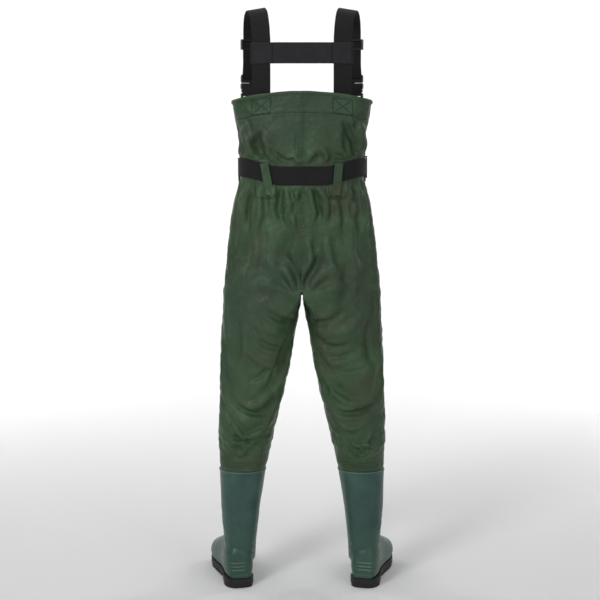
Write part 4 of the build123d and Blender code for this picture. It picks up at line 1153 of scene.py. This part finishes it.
def smooth_boot(nm, s):
    src = NODES[nm + "_boot_upper"]
    m = src.data.copy()
    o = bpy.data.objects.new(nm + "_boot_shell", m)
    COL.objects.link(o)
    md = o.modifiers.new("r", "REMESH"); md.mode = "VOXEL"; md.voxel_size = .0019
    md2 = o.modifiers.new("s", "SMOOTH"); md2.factor = .5; md2.iterations = 14
    dg = bpy.context.evaluated_depsgraph_get()
    mm = bpy.data.meshes.new_from_object(o.evaluated_get(dg))
    o.modifiers.clear()
    o.data = mm
    v, n = mesh_arrays(mm)
    q = v.copy(); q[:, 0] *= s
    nn = n.copy(); nn[:, 0] *= s
    rel = q - HEEL
    u, w = rel @ FD, rel @ FS
    z = q[:, 2]
    cx, cy = tab([(.07, .175), (.184, .1751), (.306, .168), (.33, .1665)], z), DY + tab([(.07, -.014), (.115, -.014), (.220, -.006), (.328, 0)], z)
    outw = ((q[:, 0] - cx) * nn[:, 0] + (q[:, 1] - cy) * nn[:, 1]) > 0
    d = np.zeros(len(q))
    # rolled rim at the top
    d += np.where(outw, .0016 * np.exp(-((z - .3235) / .0035) ** 2), 0)
    d += np.where(outw, -.0005 * np.exp(-((z - .3165) / .0020) ** 2), 0)
    # heel ribs
    azh = np.arctan2(q[:, 0] - HEEL[0] - .004, -(q[:, 1] - (HEEL[1] + .045)))
    heel = (1 - sstep(.42, .56, np.abs(azh))) * (q[:, 1] < HEEL[1] + .05) * outw
    for zr in (.070, .0600, .0500):
        d += heel * .0030 * np.exp(-((z - zr) / .0024) ** 2)
    # welt band just above the sole, and a step over it
    d += .0016 * (1 - sstep(.0345, .0375, z)) * outw
    d += -.0005 * np.exp(-((z - .0390) / .0015) ** 2) * outw
    # creases at the ankle: (azimuth from the outer side, z) at each end, half width, depth
    azs = np.degrees(np.arctan2(q[:, 1] - cy, q[:, 0] - cx))
    azs = np.where(azs > 150, azs - 360, azs)
    for (a0, z0, a1, z1, wd, am) in ((5, .190, -52, .163, .0030, .0020), (0, .171, -38, .152, .0026, .0012), (-12, .138, -52, .113, .0028, .0017), (-30, .100, -62, .090, .0024, .0014),
                                     (-178, .103, -128, .125, .0028, .0016), (-180, .088, -132, .098, .0024, .0013), (-168, .150, -138, .160, .0028, .0008),
                                     (40, .150, 140, .150, .0040, .0022), (35, .132, 145, .132, .0040, .0022), (30, .116, 150, .114, .0040, .0018)):
        k_ = .055 * math.pi / 180
        ax_, az_, bx_, bz_ = a0 * k_, z0, a1 * k_, z1
        px_, pz_ = azs * k_, z
        if a0 > 25:
            px_ = np.where(azs < -100, azs + 360, azs) * k_
        L2 = (bx_ - ax_) ** 2 + (bz_ - az_) ** 2
        t_ = np.clip(((px_ - ax_) * (bx_ - ax_) + (pz_ - az_) * (bz_ - az_)) / L2, 0, 1)
        sg_ = (px_ - ax_) * (bz_ - az_) - (pz_ - az_) * (bx_ - ax_)
        dd_ = np.hypot(px_ - ax_ - t_ * (bx_ - ax_), pz_ - az_ - t_ * (bz_ - az_)) * np.sign(sg_)
        fade = np.sin(np.pi * np.clip(t_ * .86 + .07, 0, 1)) ** .6
        d += am * fade * outw * (-np.exp(-(dd_ / wd) ** 2) + .55 * np.exp(-((dd_ - 2.0 * wd) / (1.4 * wd)) ** 2) + .4 * np.exp(-((dd_ + 2.0 * wd) / (1.3 * wd)) ** 2))
    # dents in the shaft
    nz_ = np.array([noise.fractal(Vector((p[0] * 14, p[1] * 14, p[2] * 9 + s * 3)), 1, 2, 3) for p in q])
    d += nz_ * .0013 * sstep(.08, .12, z)
    # raised line along the shaft's back
    d += .0007 * np.exp(-(((q[:, 0] - cx)) / .0016) ** 2) * (q[:, 1] < cy) * sstep(.075, .095, z) * (1 - sstep(.300, .31, z)) * outw
    v2 = v + n * d[:, None]
    v2[:, 2] = np.maximum(v2[:, 2], .0262)
    mm.vertices.foreach_set("co", v2.astype(np.float32).ravel())
    mm.update()
    for p in mm.polygons:
        p.use_smooth = True
    mm.materials.clear(); mm.materials.append(BOOT)
    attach(o, nm + "_lower_leg"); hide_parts(nm + "_boot_upper")
    return o


for s, nm in ((1, "right"), (-1, "left")):
    smooth_boot(nm, s)

# ------------------------------------------------------------------ CAD nodes that stay shown
def dress(nm, mat, bevel=.0006, seg=2):
    o = NODES[nm]
    o.data.materials.clear()
    o.data.materials.append(mat)
    if bevel:
        w = o.modifiers.new("weld", "WELD"); w.merge_threshold = 1e-6
        b = o.modifiers.new("bev", "BEVEL"); b.width = bevel; b.segments = seg; b.limit_method = "ANGLE"; b.angle_limit = R(35)
        b.harden_normals = True
    for p in o.data.polygons:
        p.use_smooth = True
    wn = o.modifiers.new("wn", "WEIGHTED_NORMAL"); wn.keep_sharp = True


for s in ("right", "left"):
    for n in ("strap_buckle_female", "strap_buckle_male", "strap_buckle_outer_arm", "strap_buckle_inner_arm", "strap_slider"):
        dress(f"{s}_{n}", PLAST, .0005)
    dress(s + "_outsole", RUB, .0009)
    dress(s + "_insole", FOAM, .0008)
for n in ("belt_buckle_female", "belt_buckle_male", "belt_buckle_upper_arm", "belt_buckle_lower_arm"):
    dress(n, PLAST, .0005)
dress("pocket_loop_strip", VEL, 0)
dress("flap_hook_strip", VEL, 0)

# belt slide at the wearer's right: made anew so that it sits on the belt's raised side
js = int(np.argmax(belt_rows[:, 0]))
sx_, sy_, sz_ = belt_rows[js, :3]


def box_mesh(name, boxes, mat, bevel=.0008):
    bm = bmesh.new()
    for (x0, x1, y0, y1, z0, z1) in boxes:
        r = bmesh.ops.create_cube(bm, size=1.0)
        for v in r["verts"]:
            v.co = Vector(((x0 + x1) / 2 + v.co.x * (x1 - x0), (y0 + y1) / 2 + v.co.y * (y1 - y0), (z0 + z1) / 2 + v.co.z * (z1 - z0)))
    m = bpy.data.meshes.new(name)
    bm.to_mesh(m); bm.free()
    m.materials.append(mat)
    o = bpy.data.objects.new(name, m)
    COL.objects.link(o)
    b = o.modifiers.new("bev", "BEVEL"); b.width = bevel; b.segments = 3; b.limit_method = "ANGLE"
    for p in m.polygons:
        p.use_smooth = True
    o.modifiers.new("wn", "WEIGHTED_NORMAL")
    return o


bo = [(sx_ - .0026, sx_ + .0042, sy_ - .012, sy_ + .012, sz_ + .0262, sz_ + .0302), (sx_ - .0026, sx_ + .0042, sy_ - .012, sy_ + .012, sz_ - .0302, sz_ - .0262)]
for k in (-.0100, 0, .0100):
    bo.append((sx_ + .0017, sx_ + .0038, sy_ + k - .0017, sy_ + k + .0017, sz_ - .0270, sz_ + .0270))
o = box_mesh("belt_slide_bar", bo, PLAST)
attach(o, "belt_slide"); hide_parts("belt_slider")

# ------------------------------------------------------------------ the garment's pieces: transforms baked, and the CAD panels they replace hidden
for s, sg in (("right", 1), ("left", -1)):
    u, l = gp[s + "_upper"], gp[s + "_lower"]
    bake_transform(u)
    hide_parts(s + "_body_panel", s + "_hip_section", s + "_thigh_section", *(["crotch_gusset"] if sg > 0 else []))
    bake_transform(l)
    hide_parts(s + "_knee_section", s + "_shin_section")

    for o_, f_ in ((u, (.68, .80)), (l, (.60, .30))):
        m_ = np.array([list(p.vertices) for p in o_.data.polygons])
        q_ = np.zeros(len(o_.data.vertices) * 3, np.float32)
        o_.data.attributes["pat"].data.foreach_get("vector", q_)
        q_ = q_.reshape(-1, 3)[m_]

# ------------------------------------------------------------------ studio
fm = bpy.data.meshes.new("floor")
fm.from_pydata([(-6, -5, 0), (6, -5, 0), (6, 2.2, 0), (-6, 2.2, 0)], [], [(0, 1, 2, 3)])
pts_, fcs_ = [], []
prof = [(-9.0, 0.0), (-2, 0), (0, 0), (3.4, 0)] + [(3.4 + 1.6 * math.sin(a), 1.6 - 1.6 * math.cos(a)) for a in np.linspace(.1, math.pi / 2, 12)] + [(5.0, 7.0)]
for y, z in prof:
    pts_ += [(-9, y, z), (9, y, z)]
for i in range(len(prof) - 1):
    fcs_.append((2 * i, 2 * i + 1, 2 * i + 3, 2 * i + 2))
fm = bpy.data.meshes.new("floor")
fm.from_pydata(pts_, [], fcs_)
for p in fm.polygons:
    p.use_smooth = True
m, nt, bs = new_mat("backdrop_mat")
tcb = node(nt, "ShaderNodeTexCoord")
spb = node(nt, "ShaderNodeSeparateXYZ")
nt.links.new(tcb.outputs["Object"], spb.inputs[0])
edge_b = maprange(nt, math_node(nt, "ABSOLUTE", spb.outputs[0]), 2.1, 3.3, smooth=True)
nt.links.new(mixc(nt, edge_b, (.96, .96, .96, 1), (.38, .38, .38, 1)), bs.inputs["Base Color"])
bs.inputs["Roughness"].default_value = .9
fm.materials.append(m)
floor = bpy.data.objects.new("floor", fm)
floor.location.z = -.0005
COL.objects.link(floor)


def area(name, loc, look, size, power, color=(1, 1, 1)):
    l = bpy.data.lights.new(name, "AREA")
    l.shape = "RECTANGLE"; l.size, l.size_y = size
    l.energy = power; l.color = color
    o = bpy.data.objects.new(name, l)
    o.location = loc
    o.rotation_euler = (Vector(look) - Vector(loc)).to_track_quat("-Z", "Y").to_euler()
    COL.objects.link(o)


area("key", (-1.8, -3.1, 2.9), (0, 0, 1.05), (.9, 1.0), 50)
area("fill", (1.7, -3.3, 1.9), (0, 0, .8), (1.2, 1.6), 14)
area("top", (0, -.6, 3.6), (0, 0, .8), (2.0, 1.4), 10)
area("back_wall_l", (-3.4, 2.6, 2.8), (-1.0, 5.0, 1.3), (1.8, 2.8), 100)
area("back_wall_r", (3.4, 2.6, 2.8), (1.0, 5.0, 1.3), (1.8, 2.8), 100)
w = bpy.data.worlds.new("w")
w.use_nodes = True
w.node_tree.nodes["Background"].inputs[0].default_value = (1, 1, 1, 1)
w.node_tree.nodes["Background"].inputs[1].default_value = .25
scene.world = w
scene.view_settings.view_transform = "Standard"

cam = bpy.data.cameras.new("cam")
cam.lens = 80.28
cam.sensor_width = 36
cam.shift_x = -.0033
co_ = bpy.data.objects.new("cam", cam)
co_.location = (0, -3.72 + DY, 1.20)
co_.rotation_euler = (R(90 - 6.1), 0, 0)
COL.objects.link(co_)
scene.camera = co_
